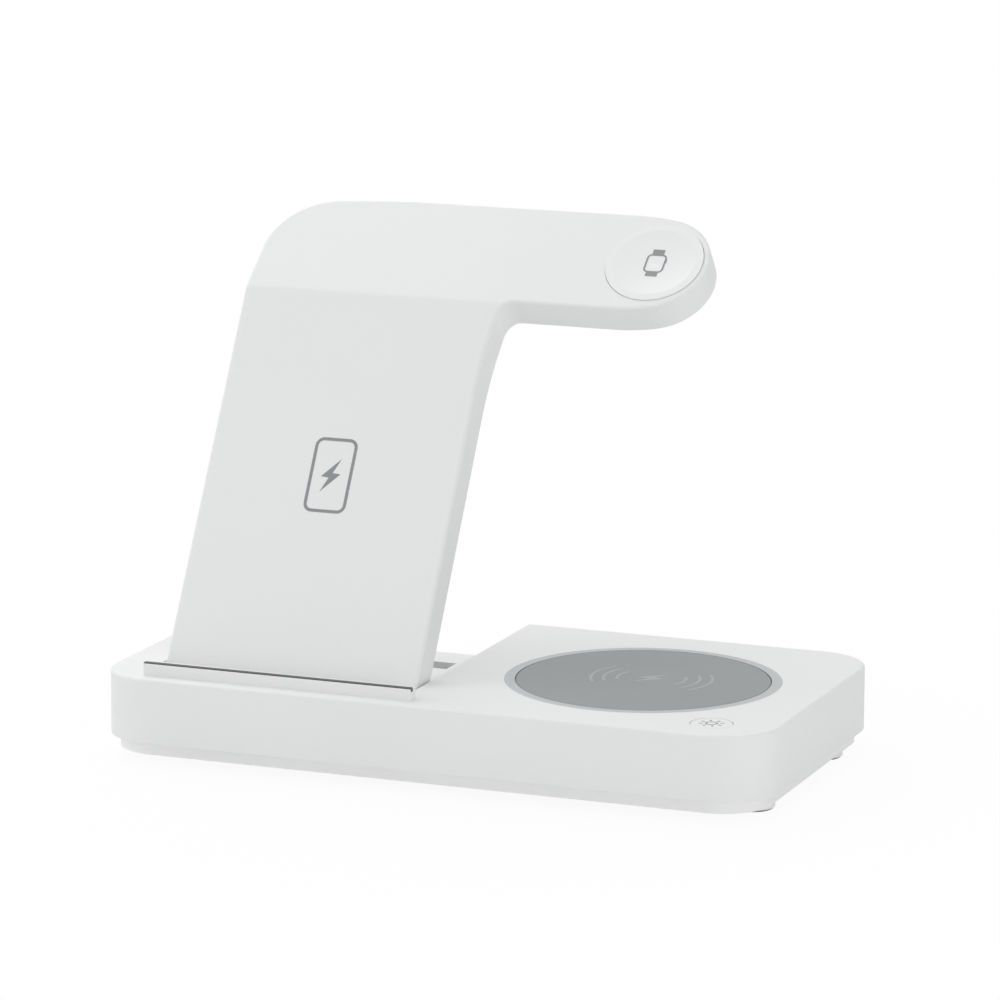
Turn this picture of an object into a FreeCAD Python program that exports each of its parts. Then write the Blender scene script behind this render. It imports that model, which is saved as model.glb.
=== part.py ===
import FreeCAD, Part
import math
import os
import Sketcher

# A four-in-one wireless charging dock: a low base with a round charging pad and a light button, and a
# leaning phone column whose bent upper panel carries a watch puck on an arm. The column folds back on a
# friction hinge into the open-backed recess of the base.
# Millimetres, +X to the right, +Y to the back, +Z up; the origin is on the table, under the base's middle.

doc = FreeCAD.newDocument("charging_dock")
sizes = doc.addObject("Spreadsheet::Sheet", "sizes")

DIMENSIONS = {
    # base housing
    "left_strip": 11.75,
    "pad_block_width": 102.6,
    "base_depth": 102.0,
    "corner_radius": 16.0,
    "wall_height": 17.65,
    "rim_round": 0.8,
    "shell_wall": 2.8,
    "tub_wall": 2.2,
    "deck_thickness": 2.2,
    "recess_depth": 10.6,
    "recess_side_gap": 1.0,
    "floor_thickness": 2.0,
    "vent_length": 40.0,
    "vent_width": 7.4,
    "vent_from_back": 11.3,
    # phone ledge and its strip
    "ledge_from_front": 4.8,
    "ledge_width": 4.2,
    "ledge_height": 3.1,
    "ledge_length": 77.7,
    "ledge_shift": 2.485,
    "ledge_corner": 0.5,
    "ledge_round": 0.3,
    "strip_from_front": 0.5,
    "strip_width": 1.4,
    "strip_depth": 0.8,
    "strip_proud": 0.3,
    "strip_gap": 0.05,
    "strip_end": 0.05,
    # bottom cover, screws and feet
    "plinth_height": 3.65,
    "plinth_inset": 2.5,
    "cover_thickness": 2.0,
    "cover_lip_height": 1.0,
    "cover_lip_wall": 1.4,
    "cover_lip_gap": 0.2,
    "foot_height": 2.5,
    "foot_radius": 6.0,
    "foot_pad": 0.5,
    "foot_pad_inset": 0.4,
    "foot_bevel": 0.15,
    "foot_from_side": 9.5,
    "foot_from_front": 22.0,
    "screw_from_side": 29.0,
    "screw_from_front": 6.2,
    "screw_boss_radius": 3.0,
    "screw_shank_radius": 1.1,
    "screw_shank_length": 4.0,
    "screw_head_radius": 2.3,
    "screw_head_height": 1.2,
    "screw_gap": 0.05,
    # round charging pad and its light ring
    "pad_offset": 0.7,
    "pad_from_middle": 0.4,
    "pad_radius": 34.4,
    "pad_thickness": 1.6,
    "pad_edge_bevel": 0.3,
    "ring_width": 2.7,
    "ring_gap": 0.1,
    "ring_flange": 2.4,
    "ring_flange_thickness": 1.5,
    "ring_shelf": 2.0,
    "led_count": 12,
    "led_width": 3.5,
    "led_depth": 2.8,
    "led_height": 0.8,
    "led_gap": 0.2,
    "led_board_thickness": 1.0,
    "pad_coil_radius": 25.0,
    "pad_coil_hole": 10.5,
    "pad_coil_thickness": 1.2,
    "pad_ferrite_radius": 27.0,
    "pad_ferrite_thickness": 1.0,
    # light button and its switch
    "button_from_side": 17.9,
    "button_from_front": 12.8,
    "button_radius": 5.6,
    "button_round": 0.3,
    "button_gap": 0.15,
    "button_flange": 1.2,
    "button_flange_thickness": 1.0,
    "button_flange_gap": 0.1,
    "button_stem_radius": 2.0,
    "button_travel": 0.5,
    "switch_width": 6.0,
    "switch_height": 3.4,
    "plunger_radius": 1.6,
    "plunger_height": 1.2,
    "plunger_depth": 0.3,
    "plunger_gap": 0.1,
    # main board and what it carries
    "board_thickness": 1.6,
    "board_post_height": 3.0,
    "board_post_radius": 2.6,
    "board_gap": 0.5,
    "board_from_side": 9.0,
    "board_from_recess": 14.0,
    "board_post_inset": 5.0,
    "board_screw_length": 4.0,
    "board_screw_radius": 1.0,
    "board_screw_head": 1.9,
    "board_screw_head_height": 1.2,
    "chip_width": 8.0,
    "chip_height": 1.2,
    "chip_spacing": 20.0,
    "inductor_width": 7.0,
    "inductor_height": 3.2,
    "inductor_spacing": 14.0,
    # power inlet
    "inlet_width": 8.94,
    "inlet_height": 3.26,
    "inlet_depth": 7.3,
    "inlet_wall": 0.3,
    "inlet_set_back": 0.6,
    "inlet_gap": 0.3,
    "tongue_width": 6.6,
    "tongue_thickness": 0.7,
    "tongue_length": 5.0,
    # fold hinge
    "hinge_from_front": 22.4,
    "fold_gap": 0.5,
    "foot_gap": 0.5,
    "pin_radius": 1.5,
    "pin_grip": 12.0,
    "pin_collar_radius": 3.0,
    "pin_collar_gap": 0.1,
    "pin_gap": 0.05,
    "bush_wall": 0.6,
    "hinge_boss": 1.6,
    "hinge_boss_wall": 1.6,
    "hinge_room_gap": 0.25,
    "friction_washer_thickness": 1.0,
    "hinge_nut_thickness": 2.4,
    "pin_end": 0.2,
    # leaning column
    "column_width": 73.65,
    "column_thickness": 9.4,
    "lean_angle": 29.6,
    "board_length": 113.5,
    "bend_angle": 21.1,
    "crease_round": 3.0,
    "panel_corner_radius": 19.0,
    "panel_top_radius": 300.0,
    "panel_top_angle": 5.6,
    "arm_low": 0.9,
    "arm_rim": 3.5,
    "arm_reach": 40.7,
    "arm_taper": 0.8,
    "arm_ease_radius": 53.0,
    "arm_inner_round": 4.8,
    "flare_radius": 141.0,
    "flare_angle": 9.2,
    "column_edge_round": 0.8,
    "column_skin": 1.8,
    "column_wall": 2.2,
    "column_cover_thickness": 1.6,
    "column_cover_margin": 1.3,
    "column_cover_gap": 0.1,
    "column_foot_solid": 6.8,
    "column_post_radius": 2.2,
    "column_post_inset": 7.5,
    # phone charging inside the column
    "phone_coil_radius": 22.0,
    "phone_coil_hole": 9.0,
    "phone_coil_thickness": 1.2,
    "phone_coil_height": 34.0,
    "phone_coil_spacing": 46.0,
    "phone_ferrite_width": 48.0,
    "phone_ferrite_thickness": 0.8,
    "column_board_margin": 1.5,
    "column_board_thickness": 1.0,
    "column_board_clearance": 0.4,
    "column_chip_width": 7.0,
    "column_chip_height": 1.2,
    "column_chip_spacing": 22.0,
    "column_screw_radius": 0.75,
    "column_screw_head": 1.6,
    "column_screw_head_height": 0.9,
    # watch puck
    "puck_shift": 1.0,
    "puck_radius": 13.7,
    "puck_proud": 0.3,
    "puck_rim": 2.0,
    "puck_dish": 0.9,
    "puck_gap": 0.12,
    "puck_seat": 2.6,
    "puck_seat_thickness": 1.2,
    "puck_step": 1.3,
    "puck_seat_wall": 1.2,
    "puck_can_depth": 6.4,
    "puck_wall": 1.2,
    "watch_coil_hole": 4.4,
    "watch_coil_thickness": 1.2,
    "watch_magnet_radius": 3.6,
    "watch_magnet_thickness": 2.4,
    "watch_ferrite_thickness": 0.8,
    "watch_board_thickness": 0.8,
    "watch_inner_gap": 0.2,
}

for row, (alias, number) in enumerate(DIMENSIONS.items(), start=1):
    sizes.set(f"A{row}", alias)
    sizes.set(f"B{row}", str(number))
    sizes.setAlias(f"B{row}", alias)
doc.recompute()

# Levels and places that several pieces share, as expressions on the sheet's cells
PLINTH_TOP = "(sizes.foot_height + sizes.plinth_height)"
COVER_TOP = "(sizes.foot_height + sizes.cover_thickness)"
DECK = f"({PLINTH_TOP} + sizes.wall_height)"
DECK_UNDER = f"({DECK} - sizes.deck_thickness)"
FLOOR = f"({DECK} - sizes.recess_depth)"
FLOOR_UNDER = f"({FLOOR} - sizes.floor_thickness)"
RECESS_WIDTH = "(sizes.column_width + 2 * sizes.recess_side_gap)"
HALF_WIDTH = f"((sizes.left_strip + {RECESS_WIDTH} + sizes.pad_block_width) / 2)"
HALF_DEPTH = "(sizes.base_depth / 2)"
RECESS_LEFT = f"(sizes.left_strip - {HALF_WIDTH})"
RECESS_RIGHT = f"({RECESS_LEFT} + {RECESS_WIDTH})"
COLUMN_LEFT = f"({RECESS_LEFT} + sizes.recess_side_gap)"
COLUMN_RIGHT = f"({COLUMN_LEFT} + sizes.column_width)"
COLUMN_MIDDLE = f"({COLUMN_LEFT} + sizes.column_width / 2)"
HALF_THICK = "(sizes.column_thickness / 2)"
HINGE_Y = f"(sizes.hinge_from_front - {HALF_DEPTH})"
HINGE_Z = f"({FLOOR} + sizes.fold_gap + {HALF_THICK})"
HINGE_ROOM = f"({DECK_UNDER} - {HINGE_Z} - sizes.hinge_room_gap)"
RECESS_FRONT = f"({HINGE_Y} - {HALF_THICK} - sizes.foot_gap)"
PAD_X = f"({HALF_WIDTH} - sizes.pad_block_width / 2 + sizes.pad_offset)"
PAD_Y = "sizes.pad_from_middle"
PAD_UNDER = f"({DECK} - sizes.pad_thickness)"
RING_INNER = "(sizes.pad_radius + sizes.ring_gap)"
RING_OUTER = f"({RING_INNER} + sizes.ring_width)"
RING_UNDER = f"({DECK_UNDER} - sizes.ring_flange_thickness)"
BUTTON_X = f"({HALF_WIDTH} - sizes.button_from_side)"
BUTTON_Y = f"(sizes.button_from_front - {HALF_DEPTH})"
SCREW_X = f"({HALF_WIDTH} - sizes.screw_from_side)"
SCREW_Y = f"({HALF_DEPTH} - sizes.screw_from_front)"
BOARD_UNDER = f"({COVER_TOP} + sizes.board_post_height)"
BOARD_TOP = f"({BOARD_UNDER} + sizes.board_thickness)"
BOARD_LEFT = f"({RECESS_RIGHT} + sizes.board_from_recess)"
BOARD_RIGHT = f"({HALF_WIDTH} - sizes.board_from_side)"
BOARD_REACH = f"({SCREW_Y} - sizes.screw_boss_radius - sizes.board_gap)"
INLET_Z = f"({BOARD_TOP} + sizes.inlet_height / 2)"
INLET_MOUTH = f"({HALF_DEPTH} - sizes.inlet_set_back)"
LEDGE_LEFT = f"({COLUMN_MIDDLE} + sizes.ledge_shift - sizes.ledge_length / 2)"
LEDGE_RIGHT = f"({LEDGE_LEFT} + sizes.ledge_length)"
LEDGE_FRONT = f"(sizes.ledge_from_front - {HALF_DEPTH})"
STRIP_FRONT = f"({LEDGE_FRONT} + sizes.strip_from_front)"
LEDGE_TOP = f"({DECK} + sizes.ledge_height)"
FOOT_X = f"({HALF_WIDTH} - sizes.foot_from_side)"
FOOT_Y = f"({HALF_DEPTH} - sizes.foot_from_front)"
SWITCH_TOP = f"({BOARD_TOP} + sizes.switch_height)"
BUSH_RADIUS = "(sizes.pin_radius + sizes.pin_gap + sizes.bush_wall)"
BUSH_LENGTH = "(sizes.tub_wall + sizes.hinge_boss)"
ARM_RADIUS = "(sizes.puck_radius + sizes.arm_rim)"
ARM_MIDDLE = f"(sizes.arm_low + {ARM_RADIUS})"
PANEL_LENGTH = f"(sizes.arm_low + 2 * {ARM_RADIUS})"
CAN_RADIUS = "(sizes.puck_radius - sizes.puck_step)"
ARM_END = f"({COLUMN_RIGHT} + sizes.arm_reach)"
PUCK_X = f"({ARM_END} + sizes.puck_shift)"
PANEL_TILT = "(sizes.lean_angle + sizes.bend_angle)"
SKIN_INSIDE = f"(sizes.column_skin - {HALF_THICK})"
POST_HEIGHT = "(sizes.phone_coil_thickness + sizes.phone_ferrite_thickness + sizes.column_board_clearance)"
COLUMN_BOARD_FRONT = f"({SKIN_INSIDE} + {POST_HEIGHT})"
POST_SIDE = "(sizes.column_width / 2 - sizes.column_post_inset)"
POST_LOW = "(sizes.column_foot_solid + sizes.column_post_inset)"
POST_HIGH = "(sizes.board_length - sizes.column_post_inset)"
DISH_INSIDE = "(sizes.puck_dish - sizes.puck_proud + sizes.puck_wall)"


def value(expression):
    """A size expression worked out with the sheet's present numbers."""
    return float(sizes.evalExpression(expression.replace("sizes.", "")))


def place(piece, x, y, z, lean=None):
    """Binds a piece's place, leaning back about the X direction where a lean is given."""
    if lean:
        turn = FreeCAD.Rotation(FreeCAD.Vector(-1, 0, 0), value(lean))
        piece.Placement = FreeCAD.Placement(FreeCAD.Vector(), turn)
        piece.setExpression("Placement.Rotation.Angle", lean)
    for axis, expression in zip("xyz", (x, y, z)):
        piece.setExpression(f"Placement.Base.{axis}", expression)
    return piece


def place_on_column(piece):
    """Puts a piece made in the column's own frame (hinge at its origin, board upright) where it leans."""
    return place(piece, "0", HINGE_Y, HINGE_Z, "sizes.lean_angle")


def place_on_puck(piece):
    """Puts a piece made on the watch puck's own axis where the tilted panel carries it."""
    along = ARM_MIDDLE
    lean = "sizes.lean_angle * 1 deg"
    tilt = f"{PANEL_TILT} * 1 deg"
    y = f"{HINGE_Y} + sizes.board_length * sin({lean}) - {HALF_THICK} * cos({lean}) + {along} * sin({tilt})"
    z = f"{HINGE_Z} + sizes.board_length * cos({lean}) + {HALF_THICK} * sin({lean}) + {along} * cos({tilt})"
    return place(piece, PUCK_X, y, z, PANEL_TILT)


def new_body(name):
    return doc.addObject("PartDesign::Body", name)


def new_sketch(body, name, role, offset=("0", "0", "0"), lean=None):
    """A sketch on one of the body's own origin planes, set off from it and leaning back if asked."""
    sketch = body.newObject("Sketcher::SketchObject", name)
    plane = next(feature for feature in body.Origin.OriginFeatures if feature.Role == role)
    sketch.AttachmentSupport = [(plane, "")]
    sketch.MapMode = "FlatFace"
    if lean:
        turn = FreeCAD.Rotation(FreeCAD.Vector(-1, 0, 0), value(lean))
        sketch.AttachmentOffset = FreeCAD.Placement(FreeCAD.Vector(), turn)
        sketch.setExpression("AttachmentOffset.Rotation.Angle", lean)
    for axis, expression in zip("xyz", offset):
        sketch.setExpression(f"AttachmentOffset.Base.{axis}", expression)
    return sketch


def board_sketch(body, name, depth):
    """A sketch parallel to the column's board, at a depth behind its front face."""
    return new_sketch(body, name, "XZ_Plane", ("0", "0", f"{HALF_THICK} - {depth}"))


def panel_sketch(body, name, depth):
    """A sketch parallel to the upper panel, at a depth behind its front; its Y runs up from the crease."""
    bend = "sizes.bend_angle * 1 deg"
    up = f"sizes.board_length - {depth} * sin({bend})"
    out = f"{HALF_THICK} - {depth} * cos({bend})"
    return new_sketch(body, name, "XZ_Plane", ("0", up, out), "sizes.bend_angle")


def hold(sketch, kind, *targets):
    """Adds a constraint whose number follows an expression, the last of the arguments."""
    *points, expression = targets
    index = sketch.addConstraint(Sketcher.Constraint(kind, *points, value(expression)))
    sketch.setExpression(f"Constraints[{index}]", expression)


def add_arc(sketch, centre, start, end, left_turn):
    """Adds an arc from start to end, and tells which of its own ends is at the start."""
    first, last = (start, end) if left_turn else (end, start)
    angles = [math.atan2(point.y - centre.y, point.x - centre.x) for point in (first, last)]
    if angles[1] <= angles[0]:
        angles[1] += 2 * math.pi
    circle_line = Part.Circle(centre, FreeCAD.Vector(0, 0, 1), (start - centre).Length)
    index = sketch.addGeometry(Part.ArcOfCircle(circle_line, *angles))
    return (index, 1, 2) if left_turn else (index, 2, 1)


def corner_reach(corner, span):
    """How far a corner reaches back along the side before it, and out along the side after it.

    The span is the distance between the two sides, where they are parallel.
    """
    if corner is None:
        return 0.0, 0.0
    if isinstance(corner, str):
        return value(corner), value(corner)
    kind, *numbers = corner
    if kind == "turn":
        return 0.0, 0.0
    if kind == "bow":
        wide, tight = (value(size) for size in numbers[1:])
        run = math.sqrt((wide - tight) ** 2 - (wide - span / 2) ** 2)
        return run, run
    wide, tight, angle = (value(size) for size in numbers)
    sweep = math.radians(angle)
    return tight + (wide - tight) * math.sin(sweep), wide - (wide - tight) * math.cos(sweep)


def arc_chain(sketch, line, following, points, centres, left_turn):
    """Joins two sides by arcs through these points, each tangent to what it meets."""
    arcs = []
    before, before_end = line, 2
    for centre, start, end in zip(centres, points, points[1:]):
        arc, arc_start, arc_end = add_arc(sketch, centre, start, end, left_turn)
        sketch.addConstraint(Sketcher.Constraint("Tangent", before, before_end, arc, arc_start))
        arcs.append(arc)
        before, before_end = arc, arc_end
    sketch.addConstraint(Sketcher.Constraint("Tangent", before, before_end, following, 1))
    return arcs


def outline(sketch, sides):
    """Draws a closed outline of upright and level sides.

    Each side is the coordinate that it keeps ("x" or "y"), its place, and the corner after it: None where
    that is sharp, or a radius where it is round. Between level sides, ("turn", place) is a half circle about
    the place, and ("bow", place, wide, tight) is a tight arc about it that wide arcs ease into both sides.
    ("ease", wide, tight, angle) is a wide arc through the angle that runs on into a tight one.
    """
    count = len(sides)
    places = [value(side[1]) for side in sides]
    leave, arrive = [], []
    for index, (kept, _, corner) in enumerate(sides):
        following = (index + 1) % count
        if isinstance(corner, tuple) and corner[0] in ("turn", "bow"):
            across = value(corner[1])
            leave.append(FreeCAD.Vector(across, places[index], 0))
            arrive.append(FreeCAD.Vector(across, places[following], 0))
        else:
            x, y = (places[index], places[following]) if kept == "x" else (places[following], places[index])
            leave.append(FreeCAD.Vector(x, y, 0))
            arrive.append(FreeCAD.Vector(x, y, 0))
    ways = [(leave[i] - arrive[i - 1]).normalize() for i in range(count)]
    ends = []
    for index, (_, _, corner) in enumerate(sides):
        back, out = corner_reach(corner, (arrive[index] - leave[index]).Length)
        ends.append((leave[index] - ways[index] * back, arrive[index] + ways[(index + 1) % count] * out))
    lines = [sketch.addGeometry(Part.LineSegment(ends[i - 1][1], ends[i][0])) for i in range(count)]
    for index, (kept, position, corner) in enumerate(sides):
        line, following = lines[index], lines[(index + 1) % count]
        sketch.addConstraint(Sketcher.Constraint("Vertical" if kept == "x" else "Horizontal", line))
        hold(sketch, "DistanceX" if kept == "x" else "DistanceY", -1, 1, line, 1, position)
        if corner is None:
            sketch.addConstraint(Sketcher.Constraint("Coincident", line, 2, following, 1))
            continue
        start, end = ends[index]
        way, onward = ways[index], ways[(index + 1) % count]
        left_turn = way.cross(end - start).z > 0
        next_position = sides[(index + 1) % count][1]
        if isinstance(corner, str):
            centre = start + end - leave[index]
            arc, = arc_chain(sketch, line, following, [start, end], [centre], left_turn)
            hold(sketch, "Radius", arc, corner)
            continue
        kind, *numbers = corner
        if kind == "turn":
            arc, = arc_chain(sketch, line, following, [start, end], [(start + end) * 0.5], left_turn)
            hold(sketch, "DistanceX", -1, 1, arc, 3, numbers[0])
        elif kind == "bow":
            across, wide, tight = numbers
            middle = (leave[index] + arrive[index]) * 0.5
            inward = (end - start).normalize()
            centres = [start + inward * value(wide), middle, end - inward * value(wide)]
            joints = [middle + (middle - far).normalize() * value(tight) for far in centres[::2]]
            first, crown, last = arc_chain(sketch, line, following, [start, *joints, end], centres, left_turn)
            hold(sketch, "Radius", first, wide)
            hold(sketch, "Radius", crown, tight)
            hold(sketch, "Radius", last, wide)
            hold(sketch, "DistanceX", -1, 1, crown, 3, across)
            hold(sketch, "DistanceY", -1, 1, crown, 3, f"({position} + {next_position}) / 2")
        else:
            wide, tight, angle = numbers
            sweep = math.radians(value(angle))
            centres = [start + onward * value(wide), end - way * value(tight)]
            middle = centres[0] + (way * math.sin(sweep) - onward * math.cos(sweep)) * value(wide)
            first, last = arc_chain(sketch, line, following, [start, middle, end], centres, left_turn)
            hold(sketch, "Radius", first, wide)
            hold(sketch, "Radius", last, tight)
            sign = "-" if way.x + way.y > 0 else "+"
            hold(sketch, "DistanceY" if kept == "x" else "DistanceX", -1, 1, first, 3,
                 f"{next_position} {sign} ({tight} + ({wide} - {tight}) * sin({angle} * 1 deg))")
    return sketch


def rectangle(sketch, left, right, low, high, radius=None):
    return outline(sketch, [("y", low, radius), ("x", right, radius),
                            ("y", high, radius), ("x", left, radius)])


def stadium(sketch, left, right, low, high):
    """A slot outline with a half circle at each end; left and right are the half circles' centres."""
    return outline(sketch, [("y", low, ("turn", right)), ("y", high, ("turn", left))])


def circle(sketch, x, y, radius):
    centre = FreeCAD.Vector(value(x), value(y), 0)
    line = sketch.addGeometry(Part.Circle(centre, FreeCAD.Vector(0, 0, 1), value(radius)))
    hold(sketch, "DistanceX", -1, 1, line, 3, x)
    hold(sketch, "DistanceY", -1, 1, line, 3, y)
    hold(sketch, "Radius", line, radius)
    return sketch


def pad(body, name, sketch, length, backward=False):
    feature = body.newObject("PartDesign::Pad", name)
    feature.Profile = sketch
    feature.setExpression("Length", length)
    feature.Reversed = backward
    return feature


def pocket(body, name, sketch, length=None, backward=False):
    """Cuts against the sketch's own direction, or along it when backward; through all without a length."""
    feature = body.newObject("PartDesign::Pocket", name)
    feature.Profile = sketch
    feature.Reversed = backward
    if length:
        feature.setExpression("Length", length)
    else:
        feature.Type = "ThroughAll"
    return feature


def turned(body, name, sketch):
    """Turns a half section about the sketch's upright axis."""
    feature = body.newObject("PartDesign::Revolution", name)
    feature.Profile = sketch
    feature.ReferenceAxis = (sketch, ["V_Axis"])
    feature.Angle = 360.0
    return feature


def round_edges(body, name, base, radius, chosen, bevel=False):
    """Rounds, or bevels, the edges of the base feature that the test picks by their two end points."""
    doc.recompute()
    picked = []
    for index, edge in enumerate(base.Shape.Edges, start=1):
        points = [edge.valueAt(edge.FirstParameter), edge.valueAt(edge.LastParameter)]
        if all(chosen(point) for point in points):
            picked.append(f"Edge{index}")
    feature = body.newObject("PartDesign::Chamfer" if bevel else "PartDesign::Fillet", name)
    feature.Base = (base, picked)
    feature.setExpression("Size" if bevel else "Radius", radius)
    return feature


def box(name, x, y, z, width, depth, height):
    """A block from its lowest corner."""
    piece = doc.addObject("Part::Box", name)
    for size, expression in zip(("Length", "Width", "Height"), (width, depth, height)):
        piece.setExpression(size, expression)
    return place(piece, x, y, z)


AXIS_TURNS = {
    "x": FreeCAD.Rotation(FreeCAD.Vector(0, 1, 0), 90),
    "y": FreeCAD.Rotation(FreeCAD.Vector(1, 0, 0), -90),
    "z": FreeCAD.Rotation(),
}


def rod(name, axis, x, y, z, radius, length):
    """A round bar from the middle of its first end, along an axis."""
    piece = doc.addObject("Part::Cylinder", name)
    piece.Placement = FreeCAD.Placement(FreeCAD.Vector(), AXIS_TURNS[axis])
    piece.setExpression("Radius", radius)
    piece.setExpression("Height", length)
    return place(piece, x, y, z)


def fuse(name, first, second):
    piece = doc.addObject("Part::Fuse", name)
    piece.Base = first
    piece.Tool = second
    return piece


def cut(name, base, tool):
    piece = doc.addObject("Part::Cut", name)
    piece.Base = base
    piece.Tool = tool
    return piece


def tube(name, axis, x, y, z, outer, inner, length):
    bar = rod(f"{name}_bar", axis, x, y, z, outer, length)
    bore = rod(f"{name}_bore", axis, x, y, z, inner, length)
    return cut(name, bar, bore)


def group(name, members):
    """Several like solids as one piece of the parts list."""
    piece = doc.addObject("Part::Compound", name)
    piece.Links = members
    return piece


def corners(x, y):
    """The four places that mirror one another about the base's middle."""
    return [(f"{sx}{x}", f"{sy}{y}") for sx in ("-", "") for sy in ("-", "")]


def base_outline(sketch, inset):
    """The base's rounded rectangle, drawn in from its outside by an inset."""
    right = f"({HALF_WIDTH} - {inset})"
    back = f"({HALF_DEPTH} - {inset})"
    return rectangle(sketch, f"-{right}", right, f"-{back}", back, f"(sizes.corner_radius - {inset})")


def make_base_shell():
    """The white upper housing: a hollow tray with the deck, the recess for the column and the phone ledge."""
    body = new_body("base_shell")
    outside = base_outline(new_sketch(body, "shell_outline", "XY_Plane", ("0", "0", PLINTH_TOP)), "0")
    block = pad(body, "shell_block", outside, "sizes.wall_height")
    deck = value(DECK)
    round_edges(body, "shell_rim", block, "sizes.rim_round", lambda point: abs(point.z - deck) < 1e-6)

    inside = new_sketch(body, "shell_inside", "XY_Plane", ("0", "0", PLINTH_TOP))
    base_outline(inside, "sizes.shell_wall")
    pocket(body, "shell_hollow", inside, "sizes.wall_height - sizes.deck_thickness", backward=True)

    tub = new_sketch(body, "tub_outline", "XY_Plane", ("0", "0", FLOOR_UNDER))
    rectangle(tub, f"{RECESS_LEFT} - sizes.tub_wall", f"{RECESS_RIGHT} + sizes.tub_wall",
              f"{RECESS_FRONT} - sizes.tub_wall", f"{HALF_DEPTH} - sizes.shell_wall / 2")
    pad(body, "tub_walls", tub, f"{DECK_UNDER} - {FLOOR_UNDER}")

    # hinge bosses stand on the outer faces of the tub's side walls, before the recess is cut
    for side, wall, backward in (("left", f"{RECESS_LEFT} - sizes.tub_wall", True),
                                 ("right", f"{RECESS_RIGHT} + sizes.tub_wall", False)):
        ring = new_sketch(body, f"{side}_boss_outline", "YZ_Plane", ("0", "0", wall))
        circle(ring, HINGE_Y, HINGE_Z, f"{BUSH_RADIUS} + sizes.hinge_boss_wall")
        pad(body, f"{side}_hinge_boss", ring, "sizes.hinge_boss", backward)

    recess = new_sketch(body, "recess_outline", "XY_Plane", ("0", "0", DECK))
    rectangle(recess, RECESS_LEFT, RECESS_RIGHT, RECESS_FRONT, f"{HALF_DEPTH} + sizes.shell_wall")
    pocket(body, "recess", recess, "sizes.recess_depth")

    vent = new_sketch(body, "vent_outline", "XY_Plane", ("0", "0", FLOOR))
    vent_back = f"({HALF_DEPTH} - sizes.vent_from_back)"
    rectangle(vent, f"{COLUMN_MIDDLE} - sizes.vent_length / 2", f"{COLUMN_MIDDLE} + sizes.vent_length / 2",
              f"{vent_back} - sizes.vent_width", vent_back)
    pocket(body, "floor_vent", vent, "sizes.floor_thickness")

    bores = new_sketch(body, "hinge_bore_outline", "YZ_Plane", ("0", "0", f"{RECESS_RIGHT} + {BUSH_LENGTH}"))
    circle(bores, HINGE_Y, HINGE_Z, BUSH_RADIUS)
    pocket(body, "hinge_bores", bores, f"{RECESS_WIDTH} + 2 * {BUSH_LENGTH}")

    holes = new_sketch(body, "deck_hole_outlines", "XY_Plane", ("0", "0", DECK))
    circle(holes, PAD_X, PAD_Y, f"{RING_OUTER} + sizes.ring_gap")
    circle(holes, BUTTON_X, BUTTON_Y, "sizes.button_radius + sizes.button_gap")
    pocket(body, "deck_holes", holes, "sizes.deck_thickness")

    inlet = new_sketch(body, "inlet_hole_outline", "XZ_Plane", ("0", "0", f"-{HALF_DEPTH}"))
    half_height = "(sizes.inlet_height / 2 + sizes.inlet_gap)"
    straight = "(sizes.inlet_width / 2 - sizes.inlet_height / 2)"
    stadium(inlet, f"{PAD_X} - {straight}", f"{PAD_X} + {straight}", f"{INLET_Z} - {half_height}",
            f"{INLET_Z} + {half_height}")
    pocket(body, "inlet_hole", inlet, "sizes.shell_wall", backward=True)

    # screw bosses hang from the deck, or from the recess floor where that is above them
    bosses = new_sketch(body, "screw_boss_outlines", "XY_Plane", ("0", "0", PLINTH_TOP))
    for x, y in corners(SCREW_X, SCREW_Y):
        circle(bosses, x, y, "sizes.screw_boss_radius")
    low_roof = f"({FLOOR_UNDER} - {PLINTH_TOP} + sizes.floor_thickness / 2)"
    pad(body, "screw_bosses", bosses, low_roof)
    tall = new_sketch(body, "tall_boss_outlines", "XY_Plane", ("0", "0", FLOOR_UNDER))
    for x, y in corners(SCREW_X, SCREW_Y):
        if not (x.startswith("-") and not y.startswith("-")):
            circle(tall, x, y, "sizes.screw_boss_radius")
    pad(body, "tall_bosses", tall, f"{DECK_UNDER} - {FLOOR_UNDER}")
    pilots = new_sketch(body, "pilot_outlines", "XY_Plane", ("0", "0", PLINTH_TOP))
    for x, y in corners(SCREW_X, SCREW_Y):
        circle(pilots, x, y, "sizes.screw_shank_radius + sizes.screw_gap")
    pocket(body, "screw_pilots", pilots, "sizes.screw_shank_length", backward=True)

    ledge = new_sketch(body, "ledge_outline", "XY_Plane", ("0", "0", DECK))
    rectangle(ledge, LEDGE_LEFT, LEDGE_RIGHT, LEDGE_FRONT, f"{LEDGE_FRONT} + sizes.ledge_width",
              "sizes.ledge_corner")
    ridge = pad(body, "ledge_ridge", ledge, "sizes.ledge_height")
    top = value(LEDGE_TOP)
    round_edges(body, "ledge_rim", ridge, "sizes.ledge_round", lambda point: abs(point.z - top) < 1e-6)

    # the groove for the silicone strip runs along the ledge's top, near its front, and out at both ends
    groove = new_sketch(body, "strip_groove_outline", "XY_Plane", ("0", "0", LEDGE_TOP))
    rectangle(groove, f"{LEDGE_LEFT} - sizes.ledge_width", f"{LEDGE_RIGHT} + sizes.ledge_width",
              f"{STRIP_FRONT} - sizes.strip_gap", f"{STRIP_FRONT} + sizes.strip_width + sizes.strip_gap")
    pocket(body, "strip_groove", groove, "sizes.strip_depth")
    return body


def make_ledge_strip():
    """A grey silicone strip in the groove of the ledge's top."""
    return box("ledge_strip", f"{LEDGE_LEFT} + sizes.strip_end", STRIP_FRONT,
               f"{LEDGE_TOP} - sizes.strip_depth", "sizes.ledge_length - 2 * sizes.strip_end",
               "sizes.strip_width", "sizes.strip_depth + sizes.strip_proud")


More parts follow.
